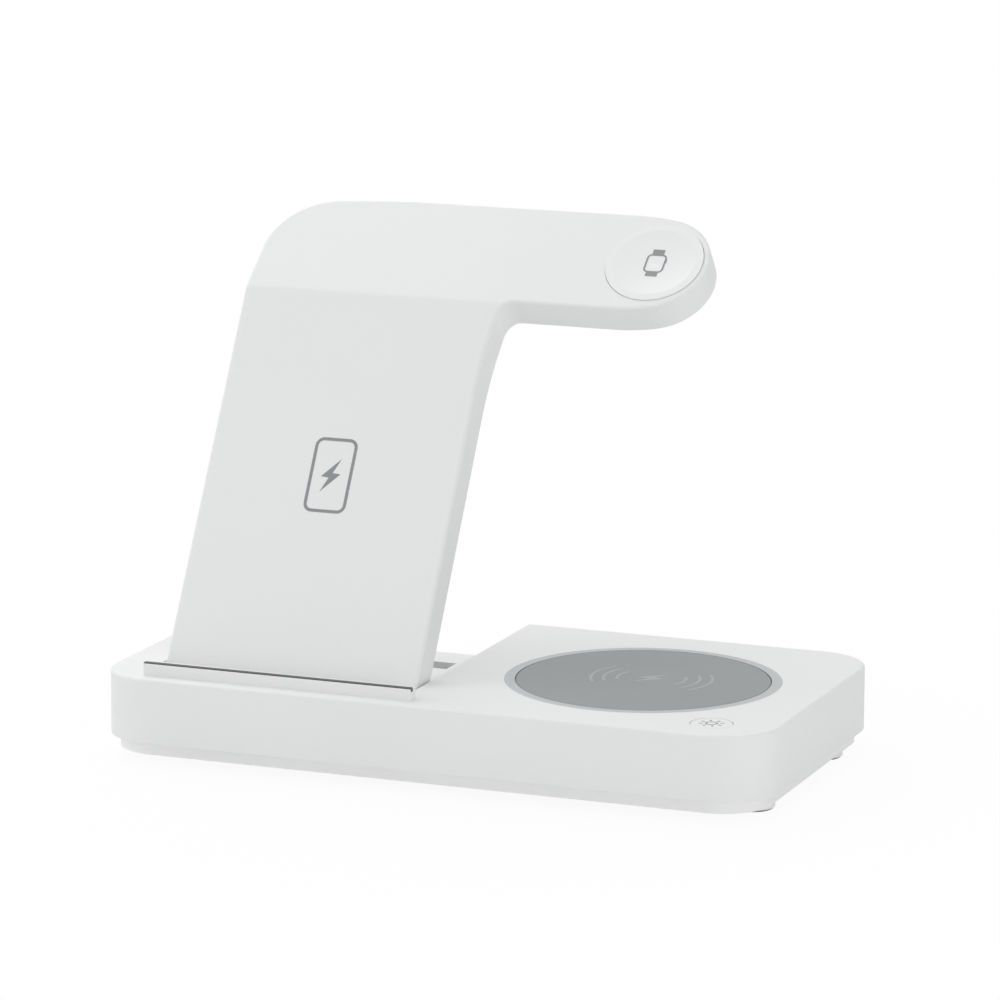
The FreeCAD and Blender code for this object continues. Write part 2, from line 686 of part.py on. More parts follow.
def make_bottom_cover():
    """The tray whose inset edge shows as a plinth, with a lip inside the wall, posts and foot bosses."""
    body = new_body("bottom_cover")
    plate = base_outline(new_sketch(body, "cover_outline", "XY_Plane", ("0", "0", "sizes.foot_height")),
                         "sizes.plinth_inset")
    pad(body, "cover_plate", plate, "sizes.plinth_height")
    lip_out = "(sizes.shell_wall + sizes.cover_lip_gap)"
    lip = new_sketch(body, "lip_outline", "XY_Plane", ("0", "0", PLINTH_TOP))
    base_outline(lip, lip_out)
    base_outline(lip, f"({lip_out} + sizes.cover_lip_wall)")
    pad(body, "cover_lip", lip, "sizes.cover_lip_height")
    rise = "(sizes.plinth_height - sizes.cover_thickness)"
    tray = new_sketch(body, "tray_outline", "XY_Plane", ("0", "0", PLINTH_TOP))
    base_outline(tray, f"({lip_out} + sizes.cover_lip_wall)")
    pocket(body, "cover_tray", tray, rise)
    seats = new_sketch(body, "screw_seat_outlines", "XY_Plane", ("0", "0", COVER_TOP))
    for x, y in corners(SCREW_X, SCREW_Y):
        circle(seats, x, y, "sizes.screw_boss_radius")
    pad(body, "screw_seats", seats, rise)
    bosses = new_sketch(body, "foot_boss_outlines", "XY_Plane", ("0", "0", "sizes.foot_pad"))
    for x, y in corners(FOOT_X, FOOT_Y):
        circle(bosses, x, y, "sizes.foot_radius")
    pad(body, "foot_bosses", bosses, "sizes.foot_height - sizes.foot_pad")
    posts = new_sketch(body, "post_outlines", "XY_Plane", ("0", "0", COVER_TOP))
    for x, y in board_posts():
        circle(posts, x, y, "sizes.board_post_radius")
    pad(body, "board_posts", posts, "sizes.board_post_height")
    pilots = new_sketch(body, "post_pilot_outlines", "XY_Plane", ("0", "0", BOARD_UNDER))
    for x, y in board_posts():
        circle(pilots, x, y, "sizes.board_screw_radius + sizes.screw_gap")
    pocket(body, "post_pilots", pilots, "sizes.board_screw_length - sizes.board_thickness")
    clear = new_sketch(body, "screw_hole_outlines", "XY_Plane", ("0", "0", "sizes.foot_height"))
    heads = new_sketch(body, "screw_head_outlines", "XY_Plane", ("0", "0", "sizes.foot_height"))
    lip_top = f"{PLINTH_TOP} + sizes.cover_lip_height"
    notches = new_sketch(body, "lip_notch_outlines", "XY_Plane", ("0", "0", lip_top))
    for x, y in corners(SCREW_X, SCREW_Y):
        circle(clear, x, y, "sizes.screw_shank_radius + sizes.screw_gap")
        circle(heads, x, y, "sizes.screw_head_radius + sizes.screw_gap")
        circle(notches, x, y, "sizes.screw_boss_radius + sizes.board_gap")
    pocket(body, "screw_holes", clear, "sizes.plinth_height", backward=True)
    pocket(body, "screw_head_seats", heads, "sizes.screw_head_height", backward=True)
    pocket(body, "lip_notches", notches, "sizes.cover_lip_height")
    return body


def make_rubber_feet():
    """Four thin rubber discs under the bosses at the cover's corners."""
    feet = []
    for number, (x, y) in enumerate(corners(FOOT_X, FOOT_Y), start=1):
        body = new_body(f"foot_{number}")
        sketch = new_sketch(body, f"foot_outline_{number}", "XY_Plane")
        circle(sketch, x, y, "sizes.foot_radius - sizes.foot_pad_inset")
        disc = pad(body, f"foot_disc_{number}", sketch, "sizes.foot_pad")
        round_edges(body, f"foot_edge_{number}", disc, "sizes.foot_bevel", lambda point: abs(point.z) < 1e-6,
                    bevel=True)
        feet.append(body)
    return group("rubber_feet", feet)


def make_screws(name, places, z, up, shank, length, head, head_height):
    """Like screws, each a head and a shank; up is 1 where the shank points up from its head and -1 down."""
    screws = []
    for number, (x, y) in enumerate(places, start=1):
        head_z = z if up > 0 else f"{z} - {head_height}"
        shank_z = f"{z} + {head_height}" if up > 0 else f"{z} - {head_height} - {length}"
        cap = rod(f"{name}_head_{number}", "z", x, y, head_z, head, head_height)
        stem = rod(f"{name}_shank_{number}", "z", x, y, shank_z, shank, length)
        screws.append(fuse(f"{name}_{number}", cap, stem))
    return group(name, screws)


def make_cover_screws():
    length = f"{PLINTH_TOP} - sizes.foot_height - sizes.screw_head_height + sizes.screw_shank_length"
    return make_screws("cover_screws", corners(SCREW_X, SCREW_Y), "sizes.foot_height", 1,
                       "sizes.screw_shank_radius", length,
                       "sizes.screw_head_radius", "sizes.screw_head_height")


def make_charging_pad():
    """The grey pad that a phone or an earphone case lies on, flush with the deck."""
    body = new_body("charging_pad")
    sketch = new_sketch(body, "pad_outline", "XY_Plane", ("0", "0", PAD_UNDER))
    circle(sketch, "0", "0", "sizes.pad_radius")
    disc = pad(body, "pad_disc", sketch, "sizes.pad_thickness")
    deck = value(DECK)
    round_edges(body, "pad_edge", disc, "sizes.pad_edge_bevel", lambda point: abs(point.z - deck) < 1e-6,
                bevel=True)
    return place(body, PAD_X, PAD_Y, "0")


def make_pad_light_ring():
    """A clear ring round the pad: it shows flush with the deck, and its flange lies under the deck."""
    body = new_body("pad_light_ring")
    section = new_sketch(body, "ring_section", "XZ_Plane")
    outline(section, [("y", RING_UNDER, None), ("x", f"{RING_OUTER} + sizes.ring_flange", None),
                      ("y", DECK_UNDER, None), ("x", RING_OUTER, None), ("y", DECK, None),
                      ("x", RING_INNER, None), ("y", PAD_UNDER, None),
                      ("x", f"{RING_INNER} - sizes.ring_shelf", None)])
    turned(body, "ring_turned", section)
    seat = new_sketch(body, "led_seat_outline", "XY_Plane", ("0", "0", RING_UNDER))
    reach = f"({RING_INNER} + sizes.ring_width / 2)"
    half_depth = "(sizes.led_depth / 2 + sizes.led_gap)"
    half_width = "(sizes.led_width / 2 + sizes.led_gap)"
    rectangle(seat, f"{reach} - {half_depth}", f"{reach} + {half_depth}", f"-{half_width}", half_width)
    first = pocket(body, "led_seat", seat, "sizes.led_height + sizes.led_gap", backward=True)
    seats = body.newObject("PartDesign::PolarPattern", "led_seats")
    seats.Originals = [first]
    seats.Axis = (seat, ["N_Axis"])
    seats.Angle = 360.0
    seats.setExpression("Occurrences", "sizes.led_count")
    body.Tip = seats
    return place(body, PAD_X, PAD_Y, "0")


def make_ring_led_board():
    level = f"{RING_UNDER} - sizes.led_board_thickness"
    return tube("ring_led_board", "z", PAD_X, PAD_Y, level, RING_OUTER,
                f"{RING_INNER} - sizes.ring_shelf / 2", "sizes.led_board_thickness")


def make_ring_leds():
    """Small lamps on the ring board, each in a seat of the light ring."""
    lamps = []
    count = int(value("sizes.led_count"))
    for number in range(count):
        body = new_body(f"led_{number + 1}")
        sketch = new_sketch(body, f"led_outline_{number + 1}", "XY_Plane")
        reach = f"({RING_INNER} + sizes.ring_width / 2)"
        rectangle(sketch, f"{reach} - sizes.led_depth / 2", f"{reach} + sizes.led_depth / 2",
                  "-sizes.led_width / 2", "sizes.led_width / 2")
        pad(body, f"led_block_{number + 1}", sketch, "sizes.led_height")
        turn = FreeCAD.Rotation(FreeCAD.Vector(0, 0, 1), 360.0 * number / count)
        body.Placement = FreeCAD.Placement(FreeCAD.Vector(), turn)
        lamps.append(place(body, PAD_X, PAD_Y, RING_UNDER))
    return group("ring_leds", lamps)


def make_pad_coil():
    return tube("pad_coil", "z", PAD_X, PAD_Y, f"{PAD_UNDER} - sizes.pad_coil_thickness",
                "sizes.pad_coil_radius", "sizes.pad_coil_hole", "sizes.pad_coil_thickness")


def make_pad_ferrite():
    level = f"{PAD_UNDER} - sizes.pad_coil_thickness - sizes.pad_ferrite_thickness"
    return rod("pad_ferrite", "z", PAD_X, PAD_Y, level, "sizes.pad_ferrite_radius",
               "sizes.pad_ferrite_thickness")


def make_light_button():
    """The round light button: a cap flush with the deck, a flange that keeps it in, a stem to the switch."""
    body = new_body("light_button")
    flange_top = f"({DECK_UNDER} - sizes.button_flange_gap)"
    flange_under = f"({flange_top} - sizes.button_flange_thickness)"
    section = new_sketch(body, "button_section", "XZ_Plane")
    outline(section, [("y", f"{SWITCH_TOP} + sizes.plunger_height", None),
                      ("x", "sizes.button_stem_radius", None),
                      ("y", flange_under, None), ("x", "sizes.button_radius + sizes.button_flange", None),
                      ("y", flange_top, None), ("x", "sizes.button_radius", "sizes.button_round"),
                      ("y", DECK, None), ("x", "0", None)])
    turned(body, "button_turned", section)
    return place(body, BUTTON_X, BUTTON_Y, "0")


def make_button_switch():
    """The switch under the button, with a well for its plunger."""
    half = "sizes.switch_width / 2"
    case = box("switch_case", f"{BUTTON_X} - {half}", f"{BUTTON_Y} - {half}", BOARD_TOP, "sizes.switch_width",
               "sizes.switch_width", "sizes.switch_height")
    depth = "(sizes.plunger_depth + sizes.button_travel + sizes.plunger_gap)"
    well = rod("switch_well", "z", BUTTON_X, BUTTON_Y, f"{SWITCH_TOP} - {depth}",
               "sizes.plunger_radius + sizes.plunger_gap", depth)
    return cut("button_switch", case, well)


def make_switch_plunger():
    return rod("switch_plunger", "z", BUTTON_X, BUTTON_Y, f"{SWITCH_TOP} - sizes.plunger_depth",
               "sizes.plunger_radius", "sizes.plunger_depth + sizes.plunger_height")


def board_posts():
    """The places of the four posts that carry the main board."""
    left = f"({BOARD_LEFT} + sizes.board_post_inset)"
    right = f"({BOARD_RIGHT} - sizes.board_post_inset)"
    reach = f"({BOARD_REACH} - sizes.board_post_inset - sizes.switch_width)"
    return [(x, f"{sign}{reach}") for x in (left, right) for sign in ("-", "")]


def make_main_board():
    """The circuit board, with a tab at the back that carries the power inlet."""
    body = new_body("main_board")
    sketch = new_sketch(body, "board_outline", "XY_Plane", ("0", "0", BOARD_UNDER))
    tab = "(sizes.inlet_width / 2 + sizes.board_gap)"
    tab_end = f"({HALF_DEPTH} - sizes.shell_wall - sizes.board_gap)"
    outline(sketch, [("y", f"-{BOARD_REACH}", None), ("x", BOARD_RIGHT, None), ("y", BOARD_REACH, None),
                     ("x", f"{PAD_X} + {tab}", None), ("y", tab_end, None), ("x", f"{PAD_X} - {tab}", None),
                     ("y", BOARD_REACH, None), ("x", BOARD_LEFT, None)])
    pad(body, "board_plate", sketch, "sizes.board_thickness")
    holes = new_sketch(body, "board_hole_outlines", "XY_Plane", ("0", "0", BOARD_TOP))
    for x, y in board_posts():
        circle(holes, x, y, "sizes.board_screw_radius + sizes.screw_gap")
    pocket(body, "board_holes", holes, "sizes.board_thickness")
    return body


def make_main_board_screws():
    top = f"{BOARD_TOP} + sizes.board_screw_head_height"
    return make_screws("main_board_screws", board_posts(), top, -1, "sizes.board_screw_radius",
                       "sizes.board_screw_length", "sizes.board_screw_head", "sizes.board_screw_head_height")


def make_block_row(name, count, width, height, spacing, y):
    """A row of like square components on the main board, about the pad's middle."""
    blocks = []
    for number in range(count):
        x = f"{PAD_X} + {spacing} * {number - (count - 1) / 2} - {width} / 2"
        blocks.append(box(f"{name}_{number + 1}", x, f"{y} - {width} / 2", BOARD_TOP, width, width, height))
    return group(name, blocks)


def make_control_chips():
    return make_block_row("control_chips", 3, "sizes.chip_width", "sizes.chip_height", "sizes.chip_spacing",
                          f"({PAD_Y} - sizes.chip_spacing / 2)")


def make_power_inductors():
    return make_block_row("power_inductors", 3, "sizes.inductor_width", "sizes.inductor_height",
                          "sizes.inductor_spacing", f"({PAD_Y} + sizes.inductor_spacing)")


def make_usb_socket_shell():
    """The steel sleeve of the power inlet, open to the back and closed at its inner end."""
    body = new_body("usb_socket_shell")
    straight = "(sizes.inlet_width / 2 - sizes.inlet_height / 2)"
    for name, inset, start, length in (("sleeve", "0", INLET_MOUTH, "sizes.inlet_depth"),
                                       ("hollow", "sizes.inlet_wall", INLET_MOUTH,
                                        "sizes.inlet_depth - sizes.inlet_wall")):
        sketch = new_sketch(body, f"{name}_outline", "XZ_Plane", ("0", "0", f"-{start}"))
        half = f"(sizes.inlet_height / 2 - {inset})"
        stadium(sketch, f"{PAD_X} - {straight}", f"{PAD_X} + {straight}", f"{INLET_Z} - {half}",
                f"{INLET_Z} + {half}")
        if name == "sleeve":
            pad(body, "sleeve", sketch, length)
        else:
            pocket(body, "hollow", sketch, length, backward=True)
    return body


def make_usb_socket_tongue():
    """The contact tongue that stands on the inlet's inner end."""
    inner_end = f"({INLET_MOUTH} - sizes.inlet_depth + sizes.inlet_wall)"
    return box("usb_socket_tongue", f"{PAD_X} - sizes.tongue_width / 2", inner_end,
               f"{INLET_Z} - sizes.tongue_thickness / 2", "sizes.tongue_width", "sizes.tongue_length",
               "sizes.tongue_thickness")


def hinge_rod(name, side, start, radius, length):
    """A round bar on the hinge axis, from a place outward on the side given."""
    x = start if side == "right" else f"{start} - {length}"
    return rod(f"{side}_{name}", "x", x, HINGE_Y, HINGE_Z, radius, length)


def outward(side, distance):
    """A place on the hinge axis, a distance outward from the recess wall on that side."""
    return f"({RECESS_RIGHT} + {distance})" if side == "right" else f"({RECESS_LEFT} - {distance})"


SIDES = ("left", "right")


def make_hinge_bushes():
    bushes = []
    for side in SIDES:
        wall = outward(side, "0")
        bar = hinge_rod("bush_bar", side, wall, BUSH_RADIUS, BUSH_LENGTH)
        bore = hinge_rod("bush_bore", side, wall, "sizes.pin_radius + sizes.pin_gap", BUSH_LENGTH)
        bushes.append(cut(f"{side}_bush", bar, bore))
    return group("hinge_bushes", bushes)


def make_hinge_pins():
    """Steel pins held in the column's foot, each with a collar in the gap beside the recess wall."""
    pins = []
    grip = "(sizes.pin_grip + sizes.recess_side_gap)"
    stack = (f"({BUSH_LENGTH} + sizes.friction_washer_thickness + sizes.hinge_nut_thickness"
             " + sizes.pin_end)")
    collar = "(sizes.recess_side_gap - sizes.pin_collar_gap)"
    for side in SIDES:
        shaft = hinge_rod("pin_shaft", side, outward(side, f"-{grip}"), "sizes.pin_radius",
                          f"({grip} + {stack})")
        ring = hinge_rod("pin_collar", side, outward(side, "-sizes.recess_side_gap"),
                         "sizes.pin_collar_radius", collar)
        pins.append(fuse(f"{side}_pin", shaft, ring))
    return group("hinge_pins", pins)


def make_friction_washers():
    washers = []
    for side in SIDES:
        bar = hinge_rod("washer_bar", side, outward(side, BUSH_LENGTH), HINGE_ROOM,
                        "sizes.friction_washer_thickness")
        bore = hinge_rod("washer_bore", side, outward(side, BUSH_LENGTH), "sizes.pin_radius",
                         "sizes.friction_washer_thickness")
        washers.append(cut(f"{side}_washer", bar, bore))
    return group("friction_washers", washers)


def make_hinge_nuts():
    nuts = []
    start = f"({BUSH_LENGTH} + sizes.friction_washer_thickness)"
    for side in SIDES:
        prism = doc.addObject("Part::Prism", f"{side}_nut_prism")
        prism.Polygon = 6
        prism.Placement = FreeCAD.Placement(FreeCAD.Vector(), AXIS_TURNS["x"])
        prism.setExpression("Circumradius", HINGE_ROOM)
        prism.setExpression("Height", "sizes.hinge_nut_thickness")
        x = outward(side, start)
        place(prism, x if side == "right" else f"{x} - sizes.hinge_nut_thickness", HINGE_Y, HINGE_Z)
        bore = hinge_rod("nut_bore", side, x, "sizes.pin_radius", "sizes.hinge_nut_thickness")
        nuts.append(cut(f"{side}_nut", prism, bore))
    return group("hinge_nuts", nuts)


def column_side(sketch, front, back, foot=None):
    """The column's bent section between two depths behind its front face.

    The board runs up from the hinge, and the panel leans back from the crease by its bend. The foot is round
    about the hinge, or cut square at the height given.
    """
    bend = math.radians(value("sizes.bend_angle"))
    near_depth, far_depth = value(front), value(back)
    crease = FreeCAD.Vector(value(f"-{HALF_THICK}"), value("sizes.board_length"), 0)
    along = FreeCAD.Vector(math.sin(bend), math.cos(bend), 0)
    inward = FreeCAD.Vector(math.cos(bend), -math.sin(bend), 0)
    bisector = FreeCAD.Vector(1, -math.tan(bend / 2), 0)
    corner_near, corner_far = crease + bisector * near_depth, crease + bisector * far_depth
    top_near = crease + along * value(PANEL_LENGTH) + inward * near_depth
    top_far = crease + along * value(PANEL_LENGTH) + inward * far_depth
    low = value(foot) if foot else 0.0
    foot_near, foot_far = FreeCAD.Vector(corner_near.x, low, 0), FreeCAD.Vector(corner_far.x, low, 0)
    corners_in_turn = (foot_near, corner_near, top_near, top_far, corner_far, foot_far)
    lines = [sketch.addGeometry(Part.LineSegment(start, end))
             for start, end in zip(corners_in_turn, corners_in_turn[1:])]
    for first, second in zip(lines, lines[1:]):
        sketch.addConstraint(Sketcher.Constraint("Coincident", first, 2, second, 1))
    sketch.addConstraint(Sketcher.Constraint("Vertical", lines[0]))
    sketch.addConstraint(Sketcher.Constraint("Vertical", lines[4]))
    sketch.addConstraint(Sketcher.Constraint("Parallel", lines[1], lines[3]))
    sketch.addConstraint(Sketcher.Constraint("Perpendicular", lines[1], lines[2]))
    half_bend = "tan(sizes.bend_angle / 2 * 1 deg)"
    hold(sketch, "DistanceX", -1, 1, lines[0], 2, f"{front} - {HALF_THICK}")
    hold(sketch, "DistanceY", -1, 1, lines[0], 2, f"sizes.board_length - {front} * {half_bend}")
    hold(sketch, "DistanceY", -1, 1, lines[4], 1, f"sizes.board_length - {back} * {half_bend}")
    hold(sketch, "DistanceX", lines[1], 1, lines[1], 2,
         f"({PANEL_LENGTH} + {front} * {half_bend}) * sin(sizes.bend_angle * 1 deg)")
    hold(sketch, "DistanceY", lines[1], 1, lines[1], 2,
         f"({PANEL_LENGTH} + {front} * {half_bend}) * cos(sizes.bend_angle * 1 deg)")
    if foot:
        sill = sketch.addGeometry(Part.LineSegment(foot_far, foot_near))
        sketch.addConstraint(Sketcher.Constraint("Coincident", lines[4], 2, sill, 1))
        sketch.addConstraint(Sketcher.Constraint("Coincident", sill, 2, lines[0], 1))
        sketch.addConstraint(Sketcher.Constraint("Horizontal", sill))
        hold(sketch, "DistanceX", -1, 1, lines[4], 1, f"{back} - {HALF_THICK}")
        hold(sketch, "DistanceY", -1, 1, sill, 1, foot)
    else:
        arc, arc_start, arc_end = add_arc(sketch, FreeCAD.Vector(), foot_far, foot_near, False)
        sketch.addConstraint(Sketcher.Constraint("Coincident", arc, 3, -1, 1))
        sketch.addConstraint(Sketcher.Constraint("Tangent", lines[4], 2, arc, arc_start))
        sketch.addConstraint(Sketcher.Constraint("Tangent", arc, arc_end, lines[0], 1))
    return sketch


def column_front(sketch, inset):
    """The column's front outline in the panel's plane, drawn in by an inset: board, corner, panel and arm.

    The board's right edge flares out before it turns into the arm, the arm narrows a little to its round end,
    and the panel's top eases into its corner.
    """
    foot = "(-sizes.board_length - sizes.column_thickness)"
    flare = ("ease", f"(sizes.flare_radius + {inset})", f"(sizes.arm_inner_round + {inset})",
             "sizes.flare_angle")
    arm_end = ("bow", ARM_END, f"(sizes.arm_ease_radius - {inset})",
               f"({ARM_RADIUS} - sizes.arm_taper - {inset})")
    shoulder = ("ease", f"(sizes.panel_top_radius - {inset})", f"(sizes.panel_corner_radius - {inset})",
                "sizes.panel_top_angle")
    return outline(sketch, [("y", foot, None), ("x", f"({COLUMN_RIGHT} - {inset})", flare),
                            ("y", f"(sizes.arm_low + {inset})", arm_end),
                            ("y", f"({PANEL_LENGTH} - {inset})", shoulder),
                            ("x", f"({COLUMN_LEFT} + {inset})", None)])


def bent_plate(name, front, back, inset, foot=None):
    """A bent plate with the column's outline drawn in by an inset, between two depths behind its front face.

    Gives its body, the plain bent bar and the cut that shapes it.
    """
    body = new_body(name)
    side = new_sketch(body, f"{name}_section", "YZ_Plane", ("0", "0", COLUMN_LEFT))
    column_side(side, front, back, foot)
    bar = pad(body, f"{name}_bar", side, f"{ARM_END} + {ARM_RADIUS} - {COLUMN_LEFT}")
    if not foot:
        round_creases(body, bar)
    sketch = panel_sketch(body, f"{name}_outline", "0")
    margin = "sizes.column_width"
    rectangle(sketch, f"{COLUMN_LEFT} - {margin}", f"{ARM_END} + {ARM_RADIUS} + {margin}",
              "-2 * sizes.board_length", f"{PANEL_LENGTH} + {margin}")
    column_front(sketch, inset)
    return body, pocket(body, f"{name}_shape", sketch)


def front_crease():
    """The crease of the column's front face, in the column's own frame."""
    return FreeCAD.Vector(0, -value(HALF_THICK), value("sizes.board_length"))


def round_creases(body, bar):
    """Softens the bend on the front and on the back of the column."""
    bend = math.radians(value("sizes.bend_angle"))
    front = front_crease()
    back = front + FreeCAD.Vector(0, 1, -math.tan(bend / 2)) * value("sizes.column_thickness")
    round_edges(body, "creases", bar, "sizes.crease_round",
                lambda point: min(math.hypot(point.y - crease.y, point.z - crease.z)
                                  for crease in (front, back)) < 1e-4)


def make_column_front_shell():
    """The column's one moulding: board, bent panel and round-ended arm, open at the back for its cover."""
    block, shaped = bent_plate("column_block", "0", "sizes.column_thickness", "0")
    bend = math.radians(value("sizes.bend_angle"))
    top = front_crease() + FreeCAD.Vector(0, math.sin(bend), math.cos(bend)) * value(PANEL_LENGTH)
    round_edges(block, "column_edges", shaped, "sizes.column_edge_round",
                lambda point: math.hypot(point.y - top.y, point.z - top.z) < 1e-4)

    # the hollow, and a shallow step round its mouth for the back cover; both run out past the back face
    behind = "(sizes.column_thickness + sizes.column_cover_thickness)"
    hollow, _ = bent_plate("column_hollow", "sizes.column_skin", behind, "sizes.column_wall",
                           "(sizes.column_foot_solid + sizes.column_wall)")
    step, _ = bent_plate("column_step", COVER_FRONT, behind, "sizes.column_cover_margin",
                         "(sizes.column_foot_solid + sizes.column_cover_margin)")
    body = new_body("column_front_shell")
    body.BaseFeature = cut("column_stepped", cut("column_emptied", block, hollow), step)

    # posts for the column's board
    posts = board_sketch(body, "column_post_outlines", "sizes.column_skin")
    pilots = board_sketch(body, "column_pilot_outlines", f"(sizes.column_skin + {POST_HEIGHT})")
    for x, z in column_posts():
        circle(posts, x, z, "sizes.column_post_radius")
        circle(pilots, x, z, "sizes.column_screw_radius + sizes.screw_gap")
    pad(body, "column_posts", posts, POST_HEIGHT, backward=True)
    pocket(body, "column_pilots", pilots, POST_HEIGHT, backward=True)

    # the watch puck drops in from the front onto a seat ring behind the skin
    seat_end = "(sizes.puck_seat + sizes.puck_seat_thickness)"
    seat = panel_sketch(body, "puck_seat_outline", "sizes.column_skin")
    circle(seat, PUCK_X, ARM_MIDDLE, "(sizes.puck_radius + sizes.puck_gap + sizes.puck_seat_wall)")
    pad(body, "puck_seat", seat, f"{seat_end} - sizes.column_skin", backward=True)
    mouth = panel_sketch(body, "puck_mouth_outline", "0")
    circle(mouth, PUCK_X, ARM_MIDDLE, "(sizes.puck_radius + sizes.puck_gap)")
    pocket(body, "puck_mouth", mouth, "sizes.puck_seat")
    throat = panel_sketch(body, "puck_throat_outline", "0")
    circle(throat, PUCK_X, ARM_MIDDLE, f"({CAN_RADIUS} + sizes.puck_gap)")
    pocket(body, "puck_throat", throat, seat_end)

    # bores for the hinge pins in both ends of the foot
    for side_name, end, backward in (("left", COLUMN_LEFT, True), ("right", COLUMN_RIGHT, False)):
        bore = new_sketch(body, f"{side_name}_pin_bore_outline", "YZ_Plane", ("0", "0", end))
        circle(bore, "0", "0", "sizes.pin_radius")
        pocket(body, f"{side_name}_pin_bore", bore, "sizes.pin_grip", backward)
    return place_on_column(body)


COVER_FRONT = "(sizes.column_thickness - sizes.column_cover_thickness)"


def column_posts():
    """The places of the four posts inside the column, in its own frame."""
    return [(f"{COLUMN_MIDDLE} {sign} {POST_SIDE}", z) for sign in "+-" for z in (POST_LOW, POST_HIGH)]


def make_column_back_cover():
    """The bent cover that closes the column from behind."""
    body, _ = bent_plate("column_back_cover", COVER_FRONT, "sizes.column_thickness",
                         "(sizes.column_cover_margin + sizes.column_cover_gap)",
                         "(sizes.column_foot_solid + sizes.column_cover_margin + sizes.column_cover_gap)")
    return place_on_column(body)


def column_group(name, members):
    """Pieces made upright in the column's own frame, carried by the leaning column."""
    return place_on_column(group(name, members))


def make_phone_coil(name, height):
    ring = tube(f"{name}_ring", "y", COLUMN_MIDDLE, SKIN_INSIDE, height, "sizes.phone_coil_radius",
                "sizes.phone_coil_hole", "sizes.phone_coil_thickness")
    return column_group(name, [ring])


def make_lower_phone_coil():
    return make_phone_coil("lower_phone_coil", "sizes.phone_coil_height")


def make_upper_phone_coil():
    return make_phone_coil("upper_phone_coil", "sizes.phone_coil_height + sizes.phone_coil_spacing")


def make_phone_ferrite():
    """The plate behind both phone coils."""
    plate = box("ferrite_plate", f"{COLUMN_MIDDLE} - sizes.phone_ferrite_width / 2",
                f"{SKIN_INSIDE} + sizes.phone_coil_thickness",
                "sizes.phone_coil_height - sizes.phone_coil_radius",
                "sizes.phone_ferrite_width", "sizes.phone_ferrite_thickness",
                "sizes.phone_coil_spacing + 2 * sizes.phone_coil_radius")
    return column_group("phone_ferrite", [plate])


def make_column_board():
    """The column's circuit board, screwed to the four posts."""
    body = new_body("column_board")
    sketch = board_sketch(body, "column_board_outline", f"(sizes.column_skin + {POST_HEIGHT})")
    reach = f"({POST_SIDE} + sizes.column_post_radius + sizes.column_board_margin)"
    rectangle(sketch, f"{COLUMN_MIDDLE} - {reach}", f"{COLUMN_MIDDLE} + {reach}",
              f"{POST_LOW} - sizes.column_post_radius - sizes.column_board_margin",
              f"{POST_HIGH} + sizes.column_post_radius")
    pad(body, "column_board_plate", sketch, "sizes.column_board_thickness", backward=True)
    holes = board_sketch(body, "column_board_hole_outlines", f"(sizes.column_skin + {POST_HEIGHT})")
    for x, z in column_posts():
        circle(holes, x, z, "sizes.column_screw_radius + sizes.screw_gap")
    pocket(body, "column_board_holes", holes, "sizes.column_board_thickness")
    return place_on_column(body)


def make_column_board_screws():
    screws = []
    board_back = f"({COLUMN_BOARD_FRONT} + sizes.column_board_thickness)"
    for number, (x, z) in enumerate(column_posts(), start=1):
        shank = rod(f"column_screw_shank_{number}", "y", x, SKIN_INSIDE, z, "sizes.column_screw_radius",
                    f"{POST_HEIGHT} + sizes.column_board_thickness")
        head = rod(f"column_screw_head_{number}", "y", x, board_back, z, "sizes.column_screw_head",
                   "sizes.column_screw_head_height")
        screws.append(fuse(f"column_screw_{number}", shank, head))
    return column_group("column_board_screws", screws)


def make_column_chips():
    """Driver chips on the back of the column's board, one above the other."""
    chips = []
    half = "sizes.column_chip_width / 2"
    for number in range(3):
        middle = f"sizes.phone_coil_height + sizes.column_chip_spacing * {number}"
        chips.append(box(f"column_chip_{number + 1}", f"{COLUMN_MIDDLE} - {half}",
                         f"{COLUMN_BOARD_FRONT} + sizes.column_board_thickness", f"{middle} - {half}",
                         "sizes.column_chip_width", "sizes.column_chip_height", "sizes.column_chip_width"))
    return column_group("column_chips", chips)


